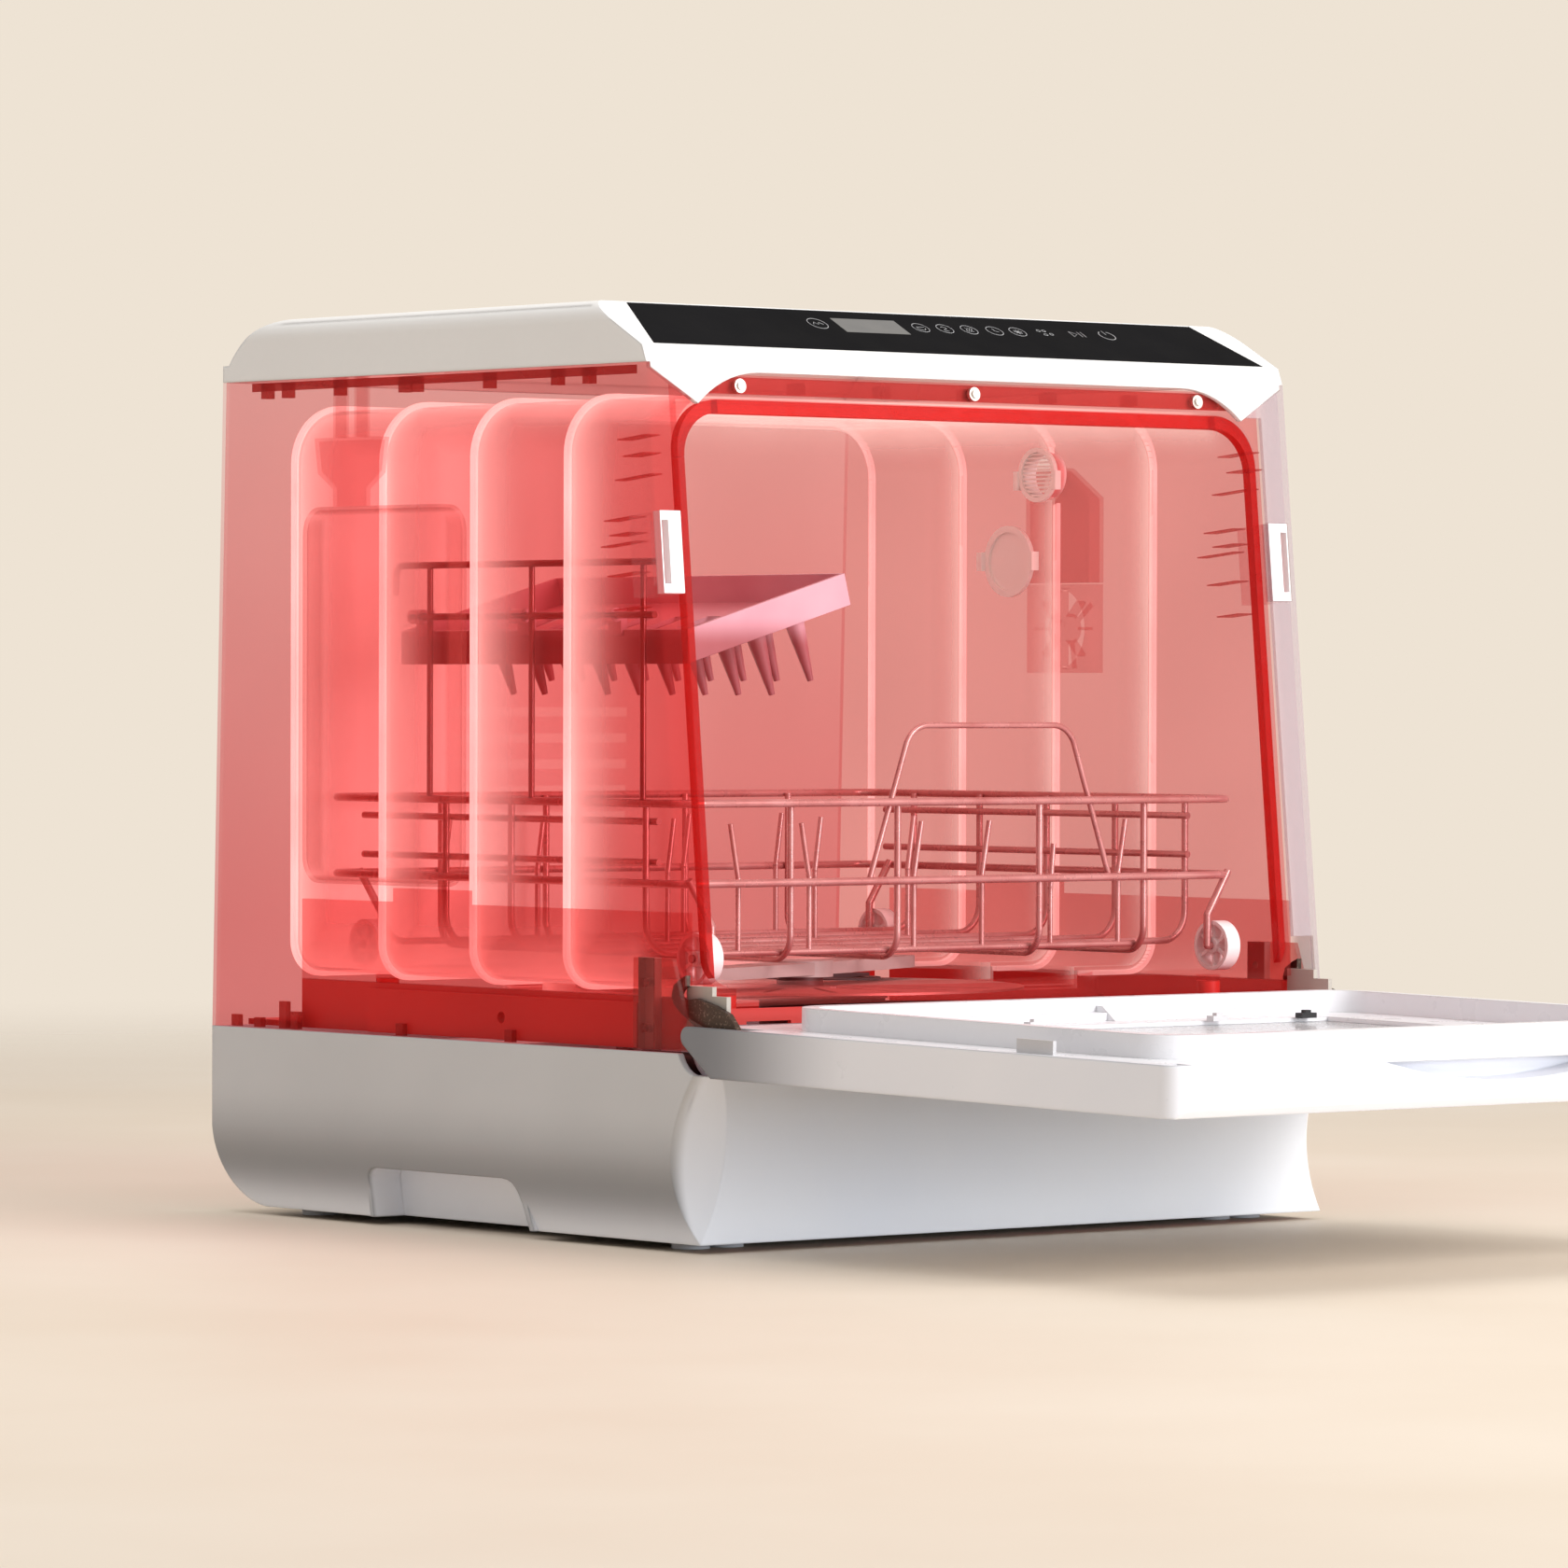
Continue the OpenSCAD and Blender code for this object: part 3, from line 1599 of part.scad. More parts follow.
base_shell();
base_pan();
feet();
left_side_panel();
right_side_panel();
back_panel();
top_cover();
control_panel();
display_window();
display_board();
chassis_frame();
tub();
tub_bands();
door_seal();
latch_left();
latch_right();
front_screws();
breather_ring();
vent_grille();
vent_duct();
drying_fan();
side_water_box();
fill_pipes();
fill_port();
fill_lid();
water_tank();
wash_pump();
drain_pump();
heater();
power_board();
water_inlet();
drain_spigot();
power_inlet();
hoses();
sump();
fine_filter();
coarse_filter();
spray_arm();
hinge_bracket_left();
hinge_bracket_right();
hinge_pins();
door_outer();
door_inner();
door_window();
window_clips();
hinge_arm_left();
hinge_arm_right();
strikers();
basket_hoops();
basket_runners();
basket_ribs();
basket_tines();
plate_stop();
basket_legs();
wheel_front_left();
wheel_front_right();
wheel_rear_left();
wheel_rear_right();
cup_shelf_frame();
cup_shelf();
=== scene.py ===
import json
import math

import bmesh
import bpy
from mathutils import Matrix, Vector


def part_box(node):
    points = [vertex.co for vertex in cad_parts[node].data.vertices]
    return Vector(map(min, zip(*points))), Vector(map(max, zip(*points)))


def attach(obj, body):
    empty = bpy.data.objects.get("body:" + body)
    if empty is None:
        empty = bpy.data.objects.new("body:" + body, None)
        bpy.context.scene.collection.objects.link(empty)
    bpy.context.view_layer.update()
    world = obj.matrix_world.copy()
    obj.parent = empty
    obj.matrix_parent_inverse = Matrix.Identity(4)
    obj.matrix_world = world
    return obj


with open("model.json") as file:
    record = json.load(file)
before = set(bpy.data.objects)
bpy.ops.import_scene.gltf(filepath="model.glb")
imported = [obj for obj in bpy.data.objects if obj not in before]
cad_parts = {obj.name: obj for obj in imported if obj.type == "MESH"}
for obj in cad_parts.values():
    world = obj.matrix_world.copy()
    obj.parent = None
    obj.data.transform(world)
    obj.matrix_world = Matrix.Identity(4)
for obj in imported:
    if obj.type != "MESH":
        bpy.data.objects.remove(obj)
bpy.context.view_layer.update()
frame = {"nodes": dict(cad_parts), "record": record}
scene = bpy.context.scene
scene.view_settings.view_transform = "Standard"
CLEAR_LAYERS = 48
LIGHT_BOUNCES = 10
scene.cycles.transparent_max_bounces = CLEAR_LAYERS
scene.cycles.max_bounces = LIGHT_BOUNCES

# Camera

CAMERA_PLACE = (-2.508, -2.8875, 0.2694)
LOOK_ALONG = (0.6368, 0.7709, -0.012)
CAMERA_ROLL = math.radians(0.14)
SENSOR_WIDTH = 36
FOCAL_LENGTH = 175.79
NEAREST, FARTHEST = 0.1, 60

cam = bpy.data.objects.new("camera", bpy.data.cameras.new("camera"))
scene.collection.objects.link(cam)
cam.location = CAMERA_PLACE
cam.rotation_mode = "QUATERNION"
aimed = Vector(LOOK_ALONG).normalized().to_track_quat("-Z", "Y")
cam.rotation_quaternion = aimed @ Matrix.Rotation(CAMERA_ROLL, 4, "Z").to_quaternion()
cam.data.sensor_width = SENSOR_WIDTH
cam.data.lens = FOCAL_LENGTH
cam.data.clip_start = NEAREST
cam.data.clip_end = FARTHEST
scene.camera = cam


# Materials

NOISE_RANGE = (0.3, 0.7)
GRAIN_DEPTH = 0.00012
FINE_DEPTH = 0.0001
SMALL_EDGE = 0.0006


def lin(text):
    """The linear colour of a hexadecimal screen colour."""
    rgb = [int(text[i : i + 2], 16) / 255 for i in (1, 3, 5)]
    return [c / 12.92 if c <= 0.04045 else ((c + 0.055) / 1.055) ** 2.4 for c in rgb] + [1.0]


class Tree:
    """A material and short ways to add nodes to it."""

    def __init__(self, name):
        self.mat = bpy.data.materials.new(name)
        self.mat.use_nodes = True
        self.t = self.mat.node_tree
        self.t.nodes.clear()
        self.out = self.t.nodes.new("ShaderNodeOutputMaterial")
        self.place = self.t.nodes.new("ShaderNodeTexCoord").outputs["Object"]

    def node(self, kind, **given):
        n = self.t.nodes.new("ShaderNode" + kind)
        for k, v in given.items():
            setattr(n, k, v)
        return n

    def put(self, socket, value):
        if isinstance(value, bpy.types.NodeSocket):
            self.t.links.new(value, socket)
        else:
            socket.default_value = value

    def noise(self, scale, detail=3.0, rough=0.55, stretch=None):
        n = self.node("TexNoise")
        n.inputs["Scale"].default_value = scale
        n.inputs["Detail"].default_value = detail
        n.inputs["Roughness"].default_value = rough
        if stretch:
            m = self.node("Mapping")
            m.inputs["Scale"].default_value = stretch
            self.put(m.inputs["Vector"], self.place)
            self.put(n.inputs["Vector"], m.outputs["Vector"])
        else:
            self.put(n.inputs["Vector"], self.place)
        return n.outputs["Fac"]

    def span(self, value, a, b, c, d, smooth=False):
        """The value, with its range from a to b mapped to the range from c to d."""
        n = self.node("MapRange", interpolation_type="SMOOTHSTEP" if smooth else "LINEAR")
        for k, v in zip(("Value", "From Min", "From Max", "To Min", "To Max"), (value, a, b, c, d)):
            self.put(n.inputs[k], v)
        return n.outputs["Result"]

    def spread(self, noise, low, high):
        """A noise, with its usual range mapped to the range from low to high."""
        return self.span(noise, *NOISE_RANGE, low, high)

    def maths(self, op, *values):
        n = self.node("Math", operation=op)
        for i, v in enumerate(values):
            self.put(n.inputs[i], v)
        return n.outputs["Value"]

    def blend(self, fac, a, b):
        n = self.node("Mix", data_type="RGBA")
        self.put(n.inputs["Factor"], fac)
        self.put(n.inputs[6], a)
        self.put(n.inputs[7], b)
        return n.outputs[2]

    def xyz(self):
        n = self.node("SeparateXYZ")
        self.put(n.inputs[0], self.place)
        return n.outputs

    def bump(self, height, strength, distance, under=None):
        n = self.node("Bump")
        n.inputs["Strength"].default_value = strength
        n.inputs["Distance"].default_value = distance
        self.put(n.inputs["Height"], height)
        if under is not None:
            self.put(n.inputs["Normal"], under)
        return n.outputs["Normal"]

    def product(self, first, *others):
        for other in others:
            first = self.maths("MULTIPLY", first, other)
        return first

    def most(self, a, b):
        return self.maths("MAXIMUM", a, b)

    def soft_edge(self, radius):
        n = self.node("Bevel")
        n.samples = 4
        n.inputs["Radius"].default_value = radius
        return n.outputs["Normal"]

    def shader(self, colour, rough, normal=None, metal=0.0, coat=0.0, coat_rough=0.1, ior=1.46):
        p = self.node("BsdfPrincipled")
        self.put(p.inputs["Base Color"], colour)
        self.put(p.inputs["Roughness"], rough)
        p.inputs["Metallic"].default_value = metal
        p.inputs["Coat Weight"].default_value = coat
        p.inputs["Coat Roughness"].default_value = coat_rough
        p.inputs["IOR"].default_value = ior
        if normal is not None:
            self.put(p.inputs["Normal"], normal)
        return p

    def glassy(self, tint):
        clear = self.node("BsdfTransparent")
        self.put(clear.inputs["Color"], tint)
        return clear

    def mixed(self, share, first, second):
        """The first shader, with a share of the second over it."""
        mix = self.node("MixShader")
        self.put(mix.inputs[0], share)
        self.put(mix.inputs[1], first.outputs[0])
        self.put(mix.inputs[2], second.outputs[0])
        return mix.outputs[0]

    def finish(self, shader):
        self.put(self.out.inputs["Surface"], shader)
        return self.mat


def shade(c, k):
    """The colour c, k times as bright."""
    return [min(1.0, v * k) for v in c[:3]] + [1.0]


def moulded(name, hexed, rough=0.38, vary=0.05, grain=0.12, grain_scale=1500, edge=0.0):
    """Moulded plastic: slow colour drift, a fine spark grain, soft edges."""
    t = Tree(name)
    c = lin(hexed)
    slow = t.noise(7, 2)
    fine = t.noise(260, 4)
    colour = t.blend(t.spread(slow, 0, 1), shade(c, 1 - vary), shade(c, 1 + vary * 0.6))
    colour = t.blend(t.span(fine, 0.35, 0.75, 0, 0.35), colour, shade(c, 1 - vary * 1.4))
    r = t.spread(t.noise(55, 4), rough - 0.06, rough + 0.08)
    under = t.soft_edge(edge) if edge else None
    n = t.bump(t.noise(grain_scale, 2), grain, GRAIN_DEPTH, under)
    return t.finish(t.shader(colour, r, n).outputs[0])


def metal(name, hexed, rough=0.3, vary=0.08, brushed=(1, 1, 30), speckle=0.0):
    """Brushed metal, with pale specks where speckle is set."""
    t = Tree(name)
    c = lin(hexed)
    lines = t.noise(180, 5, 0.6, brushed)
    colour = t.blend(t.spread(t.noise(24, 3), 0, 1), shade(c, 1 - vary), shade(c, 1 + vary))
    if speckle:
        colour = t.blend(t.span(t.noise(700, 3), 0.58, 0.66, 0, speckle), colour, shade(c, 3.0))
    r = t.spread(lines, rough - 0.07, rough + 0.1)
    n = t.bump(lines, 0.15, FINE_DEPTH)
    return t.finish(t.shader(colour, r, n, metal=1.0).outputs[0])


def filtered(name, own, tint, cover, rough=0.16, extra=None, vary=0.05):
    """Clear plastic: a tinted see-through share and a thin share of the surface's own colour and gloss."""
    t = Tree(name)
    c, k = lin(own), list(tint) + [1.0]
    drift = t.spread(t.noise(5, 2), 0, 1)
    clear = t.glassy(t.blend(drift, shade(k, 1 - vary * 0.35), k))
    colour = t.blend(drift, shade(c, 1 - vary), shade(c, 1 + vary))
    fine = t.noise(150, 2)
    r = t.spread(fine, rough - 0.04, rough + 0.07)
    n = t.bump(fine, 0.1, FINE_DEPTH)
    solid = t.shader(colour, r, n)
    share = t.span(drift, 0, 1, cover * 1.15, cover * 0.85)
    if extra:
        share = extra(t, share, solid, clear)
    return t.finish(t.mixed(share, clear, solid))


def recolour(t, shader, socket, share, colour):
    """Blends a share of a colour over the one that a shader's socket already takes."""
    own = shader.inputs[socket].links[0].from_socket
    t.put(shader.inputs[socket], t.blend(share, own, colour))


BAND_COUNT = 4
BAND_STEP = 0.076
LAST_BAND_Y = 0.3089
BANDS = [LAST_BAND_Y - BAND_STEP * i for i in range(BAND_COUNT)]
TUB_FLOOR, TUB_CEILING = 0.127, 0.412
TUB_BACK_Y = 0.311
FRONT_SLOPE, FRONT_OFFSET = -0.0962, 0.0418
CENTRE_BLEND = (-0.1, 0.1)
BACK_WALL = (TUB_BACK_Y - 0.0025, TUB_BACK_Y - 0.001)
TUB_BACK_FADE = (TUB_BACK_Y - 0.005, TUB_BACK_Y)
TUB_FRONT_FADE = (0.0, 0.03)
LEFT_WALL_FADE = (-0.17, -0.11)
FADE_AHEAD, FADE_BEHIND = 0.066, 0.036
FADE_POWER = 1.7
FLOOR_FADE, CEILING_FADE = 0.055, 0.03
GLOW_COVER, GLOW_LIGHT = 0.8, 0.68


def lean_of(t):
    """How far behind the slanted front plane a point lies, in metres."""
    x, y, z = t.xyz()
    return t.maths("ADD", t.maths("ADD", y, t.maths("MULTIPLY", z, FRONT_SLOPE)), FRONT_OFFSET)


def painted_glow(t, share, solid, clear):
    """Painted glow: pale colour and emitted light that start at each band and fade along the wall, and rise
    up from the floor.
    """
    x, y, z = t.xyz()
    left = t.span(x, *CENTRE_BLEND, 1, 0)
    right = t.maths("SUBTRACT", 1.0, left)
    not_back_wall = t.span(y, *BACK_WALL, 1, 0)
    glowing = None
    for band in BANDS:
        ahead = t.maths("SUBTRACT", band, y)
        on = t.maths("GREATER_THAN", ahead, 0.0)
        off = t.maths("SUBTRACT", 1.0, on)
        fall = t.maths("POWER", t.span(ahead, 0.0, FADE_AHEAD, 1, 0), FADE_POWER)
        rise = t.maths("POWER", t.span(ahead, -FADE_BEHIND, 0.0, 0, 1), FADE_POWER)
        on_left = t.product(on, fall, left)
        on_right = t.product(off, rise, right, not_back_wall, 0.6)
        both = t.most(on_left, on_right)
        glowing = both if glowing is None else t.most(glowing, both)
    inside = t.product(t.span(y, *TUB_BACK_FADE, 1, 0), t.span(y, *TUB_FRONT_FADE, 0, 1))
    low = t.maths("POWER", t.span(z, TUB_FLOOR, TUB_FLOOR + FLOOR_FADE, 1, 0), 1.5)
    low = t.product(low, t.span(x, *LEFT_WALL_FADE, 1, 0.25))
    high = t.product(t.maths("POWER", t.span(z, TUB_CEILING - CEILING_FADE, TUB_CEILING, 0, 1), 1.4), 0.8)
    above_floor = t.maths("GREATER_THAN", z, TUB_FLOOR - 0.004)
    streak = t.span(t.noise(9, 3, 0.6, (1, 1, 0.25)), 0.25, 0.8, 0.65, 1.0)
    painted_glow_amount = t.product(t.most(glowing, t.product(t.most(low, high), inside, above_floor)), streak)
    # Painted glow: the pale colour and the emitted light stand in for light on the tub walls, which are no
    # lamp.
    recolour(t, solid, "Base Color", t.span(painted_glow_amount, 0.02, 0.4, 0, 1), lin("#FFF1EA"))
    t.put(solid.inputs["Emission Color"], lin("#FFEAE2"))
    t.put(solid.inputs["Emission Strength"], t.product(painted_glow_amount, GLOW_LIGHT))
    return t.most(share, t.product(painted_glow_amount, GLOW_COVER))


STILE_SLOPE, STILE_EDGE = -0.0965, (-0.0295, -0.0225)
PANEL_HEIGHTS = (0.1, 0.43)
BACK_HEIGHTS = (0.15, 0.42)
TRAY_RIM = (0.1215, 0.1225)
OUTLINE_WIDTHS = (0.0012, 0.0052)
PLATE_X = 0.2033
LATCH_FACE = (0.0045, 0.006)


def stile_grey(t, share, solid, clear):
    """The right panel: red where it covers the tub, greyish clear in its front stile."""
    x, y, z = t.xyz()
    front = t.maths("ADD", y, t.maths("MULTIPLY", z, STILE_SLOPE))
    pale = t.span(front, *STILE_EDGE, 1, 0, True)
    recolour(t, clear, "Color", pale, [0.93, 0.88, 0.9, 1])
    recolour(t, solid, "Base Color", pale, lin("#D8CFD2"))
    return t.most(share, t.product(pale, 0.3))


def clearer_low(t, share, solid, clear):
    """The left panel is a little clearer low down."""
    x, y, z = t.xyz()
    return t.product(share, t.span(z, *PANEL_HEIGHTS, 0.8, 1.2))


def paler_up(t, share, solid, clear):
    """The back panel is pale behind the top of the tub and redder low down."""
    x, y, z = t.xyz()
    up = t.span(z, *BACK_HEIGHTS, 0, 1)
    t.put(clear.inputs["Color"], t.blend(up, [0.94, 0.68, 0.7, 1], [0.975, 0.88, 0.89, 1]))
    recolour(t, solid, "Base Color", up, lin("#F2D2CA"))
    return share


def tray(t, share, solid, clear):
    """The tray is solid red low down and see-through where it rises beside the tub."""
    x, y, z = t.xyz()
    return t.most(share, t.span(z, *TRAY_RIM, 1, 0))


def outlined(node):
    """A clear box whose outline on its flat side shows as a soft darker line."""
    a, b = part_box(node)

    def extra(t, share, solid, clear):
        x, y, z = t.xyz()
        dy = t.maths("MINIMUM", t.maths("SUBTRACT", y, a[1]), t.maths("SUBTRACT", b[1], y))
        dz = t.maths("MINIMUM", t.maths("SUBTRACT", z, a[2]), t.maths("SUBTRACT", b[2], z))
        edge = t.span(t.maths("MINIMUM", dy, dz), *OUTLINE_WIDTHS, 1, 0, True)
        return t.most(share, t.product(edge, 0.2))

    return extra


def plated(t, share, solid, clear):
    """The bracket's thin outer plate is clear red, and its stepped inner part is pale steel."""
    x, y, z = t.xyz()
    outer = t.maths("GREATER_THAN", t.maths("ABSOLUTE", x), PLATE_X)
    return t.product(share, t.span(outer, 0, 1, 1, 0.14))


def white_front(t, share, solid, clear):
    """The latch is white at its face and pink see-through behind it."""
    return t.most(share, t.span(lean_of(t), *LATCH_FACE, 1, 0))


def panel_material():
    """Smooth black plastic that mirrors little."""
    t = Tree("panel_black")
    c = lin("#161618")
    colour = t.blend(t.spread(t.noise(9, 2), 0, 1), shade(c, 0.85), shade(c, 1.12))
    r = t.spread(t.noise(40, 4), 0.5, 0.6)
    n = t.bump(t.noise(900, 2), 0.05, FINE_DEPTH, t.soft_edge(SMALL_EDGE))
    return t.finish(t.shader(colour, r, n, ior=1.05).outputs[0])


SHADED_SIDE_X = (-0.2098, -0.2045)
LOW_SHADE_Z = (0.004, 0.07)
HINGE_SHADE_Y = (-0.16, -0.04)
BLACK_CLIP_X = 0.09
SHELF_EDGE_ABOVE = (0.024, 0.04)


def base_material():
    """Light plastic with painted light and shade: the left face a darker warm grey for shade, darkest near
    the bottom, the front a brighter cool white for light.
    """
    t = Tree("base_grey")
    x, y, z = t.xyz()
    drift = t.spread(t.noise(7, 2), 0, 1)
    # Painted shade: the left face is darkened, most near its bottom edge; painted light: the front takes a
    # brighter cool white.
    side = t.span(x, *SHADED_SIDE_X, 1, 0, True)
    low = t.span(z, *LOW_SHADE_Z, 1, 0, True)
    lit_white = t.blend(drift, lin("#EDF2FC"), lin("#F6F9FF"))
    shaded_grey = t.blend(drift, lin("#CBCCCE"), lin("#D2D3D5"))
    shaded_grey = t.blend(t.product(low, 0.95), shaded_grey, lin("#58595C"))
    colour = t.blend(side, lit_white, shaded_grey)
    r = t.spread(t.noise(55, 4), 0.36, 0.5)
    n = t.bump(t.noise(1500, 2), 0.1, GRAIN_DEPTH, t.soft_edge(0.0016))
    return t.finish(t.shader(colour, r, n).outputs[0])


def door_material():
    """Door shell plastic, with painted shade that darkens it toward the hinges."""
    t = Tree("door_shell")
    x, y, z = t.xyz()
    drift = t.spread(t.noise(7, 2), 0, 1)
    hinge_shade = t.span(y, *HINGE_SHADE_Y, 0, 1, True)
    colour = t.blend(drift, lin("#EEF0F8"), lin("#F5F6FC"))
    # Painted shade: the end near the hinges is darkened toward a dark grey.
    colour = t.blend(t.product(hinge_shade, 0.92), colour, lin("#707278"))
    r = t.spread(t.noise(55, 4), 0.27, 0.41)
    n = t.bump(t.noise(1500, 2), 0.06, GRAIN_DEPTH, t.soft_edge(0.002))
    return t.finish(t.shader(colour, r, n).outputs[0])


def clip_material():
    """The window's clips: the pair at the right is black, the others take the lining's pale grey."""
    t = Tree("clip_black")
    x, y, z = t.xyz()
    drift = t.spread(t.noise(60, 3), 0, 1)
    pale = t.blend(drift, lin("#D2D0D2"), lin("#DEDCDE"))
    colour = t.blend(t.maths("GREATER_THAN", x, BLACK_CLIP_X), pale, lin("#232325"))
    r = t.span(drift, 0, 1, 0.42, 0.55)
    return t.finish(t.shader(colour, r, t.bump(drift, 0.1, FINE_DEPTH)).outputs[0])


def tinted_wire(name, dark, bright, rough=0.28):
    """Red coated wire with a clear gloss."""
    t = Tree(name)
    drift = t.spread(t.noise(30, 3), 0, 1)
    colour = t.blend(drift, lin(dark), lin(bright))
    r = t.spread(t.noise(90, 4), rough - 0.06, rough + 0.08)
    n = t.bump(t.noise(700, 3), 0.12, FINE_DEPTH)
    return t.finish(t.shader(colour, r, n, metal=0.35, coat=0.5, coat_rough=0.15).outputs[0])


def shelf_material():
    """The shelf's front edge is mauve, its comb and rear are dark red."""
    t = Tree("shelf_mauve")
    x, y, z = t.xyz()
    drift = t.spread(t.noise(20, 3), 0, 1)
    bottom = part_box("cup_shelf")[0].z
    low = t.span(z, *(bottom + h for h in SHELF_EDGE_ABOVE), 1, 0, True)
    mauve = t.blend(drift, lin("#D98F9C"), lin("#E3A0AC"))
    red = t.blend(drift, lin("#8E2226"), lin("#A43236"))
    colour = t.blend(t.product(low, 0.85), mauve, red)
    n = t.bump(t.noise(900, 2), 0.1, GRAIN_DEPTH, t.soft_edge(SMALL_EDGE))
    return t.finish(t.shader(colour, t.span(drift, 0, 1, 0.34, 0.44), n).outputs[0])


def band_material():
    """The pale raised bands round the tub, with a painted glow of emitted light, more see-through toward the
    right.
    """
    t = Tree("band_pale")
    drift = t.spread(t.noise(16, 3), 0, 1)
    colour = t.blend(drift, lin("#FFE9E2"), lin("#FFF8F5"))
    n = t.bump(t.noise(500, 2), 0.1, FINE_DEPTH)
    solid = t.shader(colour, t.span(drift, 0, 1, 0.4, 0.55), n)
    # Painted glow: the bands give off light of their own though they are no lamp.
    t.put(solid.inputs["Emission Color"], lin("#FFF0EA"))
    t.put(solid.inputs["Emission Strength"], t.span(drift, 0, 1, 0.7, 0.85))
    x, y, z = t.xyz()
    share = t.product(t.span(drift, 0, 1, 0.85, 1.0), t.span(x, -0.186, -0.1, 0.72, 0.34))
    return t.finish(t.mixed(share, t.glassy([0.98, 0.86, 0.86, 1]), solid))


WATER_TINT = (0.997, 0.955, 0.955)

M = {
    "cover_white": moulded("cover_white", "#F4F2F0", 0.36, 0.02, 0.08, edge=0.0022),
    "base_grey": base_material(),
    "pan_grey": moulded("pan_grey", "#8F8C8A", 0.6),
    "foot_grey": moulded("foot_grey", "#D8DBE2", 0.6, 0.06, 0.3, 600),
    "side_tint": filtered("side_tint", "#E03C38", (0.99, 0.79, 0.8), 0.05, extra=clearer_low),
    "side_tint_right": filtered("side_tint_right", "#E58A88", (0.99, 0.85, 0.855), 0.05, extra=stile_grey),
    "back_tint": filtered("back_tint", "#C25650", (0.98, 0.79, 0.81), 0.06, 0.3, extra=paler_up),
    "panel_black": panel_material(),
    "display_grey": moulded("display_grey", "#626262", 0.4, 0.06, 0.03),
    "board_green": moulded("board_green", "#2E6B4A", 0.5, 0.12, 0.2, 500),
    "chassis_red": filtered("chassis_red", "#D8362F", (0.98, 0.74, 0.74), 0.08, 0.4, tray, 0.1),
    "tub_tint": filtered("tub_tint", "#E86E66", (0.985, 0.77, 0.775), 0.045, extra=painted_glow),
    "seal_red": filtered("seal_red", "#C00C0C", (0.93, 0.22, 0.2), 0.4, 0.3),
    "latch_white": filtered("latch_white", "#FBF7F8", (0.98, 0.86, 0.86), 0.1, 0.35, white_front, 0.02),
    "screw_steel": metal("screw_steel", "#D8D0CC", 0.35),
    "vent_white": moulded("vent_white", "#F7EDE9", 0.4, 0.03),
    "duct_pink": filtered("duct_pink", "#D88480", (0.975, 0.86, 0.86), 0.07, 0.35),
    "fan_black": filtered("fan_black", "#D88480", (0.975, 0.86, 0.86), 0.06, 0.35),
    "water_box": filtered("water_box", "#E08078", WATER_TINT, 0.02, 0.3, outlined("side_water_box")),
    "pipe_pale": filtered("pipe_pale", "#DC7068", (0.99, 0.9, 0.9), 0.05, 0.3),
    "tank_pale": moulded("tank_pale", "#D6E2E8", 0.35, 0.04),
    "pump_dark": moulded("pump_dark", "#6A1C1C", 0.45, 0.1),
    "heater_steel": metal("heater_steel", "#B9A48C", 0.35),
    "inlet_metal": metal("inlet_metal", "#D0D0D2", 0.25),
    "port_black": moulded("port_black", "#2A2A2C", 0.5),
    "hose_black": moulded("hose_black", "#303032", 0.6, 0.1, 0.3, 500),
    "sump_grey": moulded("sump_grey", "#6E2A2A", 0.5),
    "filter_steel": metal("filter_steel", "#D0B8B4", 0.38, 0.1, (30, 30, 1)),
    "filter_grey": moulded("filter_grey", "#7A5656", 0.5),
    "spray_grey": moulded("spray_grey", "#C49C9A", 0.4),
    "bracket_steel": filtered("bracket_steel", "#BDB5AB", (0.975, 0.62, 0.6), 1.0, 0.35, plated, 0.1),
    "pin_steel": metal("pin_steel", "#D8D8D8", 0.25),
    "arm_steel": metal("arm_steel", "#544842", 0.42, 0.2, speckle=0.7),
    "door_shell": door_material(),
    "door_lining": moulded("door_lining", "#E8E7EA", 0.3, 0.02, 0.05, edge=0.001),
    "door_glass": filtered("door_glass", "#F6F5F6", (0.975, 0.965, 0.965), 0.72, 0.12),
    "clip_black": clip_material(),
    "striker_grey": moulded("striker_grey", "#C8C6C8", 0.4),
    "basket_wire": tinted_wire("basket_wire", "#B86462", "#CF8886"),
    "wheel_white": moulded("wheel_white", "#FFE9E8", 0.4, 0.04, edge=SMALL_EDGE),
    "shelf_frame_red": tinted_wire("shelf_frame_red", "#8C2A2A", "#A23A38", 0.34),
    "shelf_mauve": shelf_material(),
    "band_pale": band_material(),
}

slots = {n["node"]: n["material_slot"] for n in frame["record"]["subparts"]}
for name, o in frame["nodes"].items():
    m = M[slots[name]]
    if not o.material_slots:
        o.data.materials.append(m)
    for s in o.material_slots:
        s.material = m

# Pieces


def add(name, bm, body, mat, smooth=True):
    """Makes a piece of the look alone, which rides on a body."""
    me = bpy.data.meshes.new(name)
    bm.normal_update()
    bm.to_mesh(me)
    bm.free()
    me.materials.append(mat)
    if smooth:
        for p in me.polygons:
            p.use_smooth = True
    o = bpy.data.objects.new(name, me)
    scene.collection.objects.link(o)
    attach(o, body)


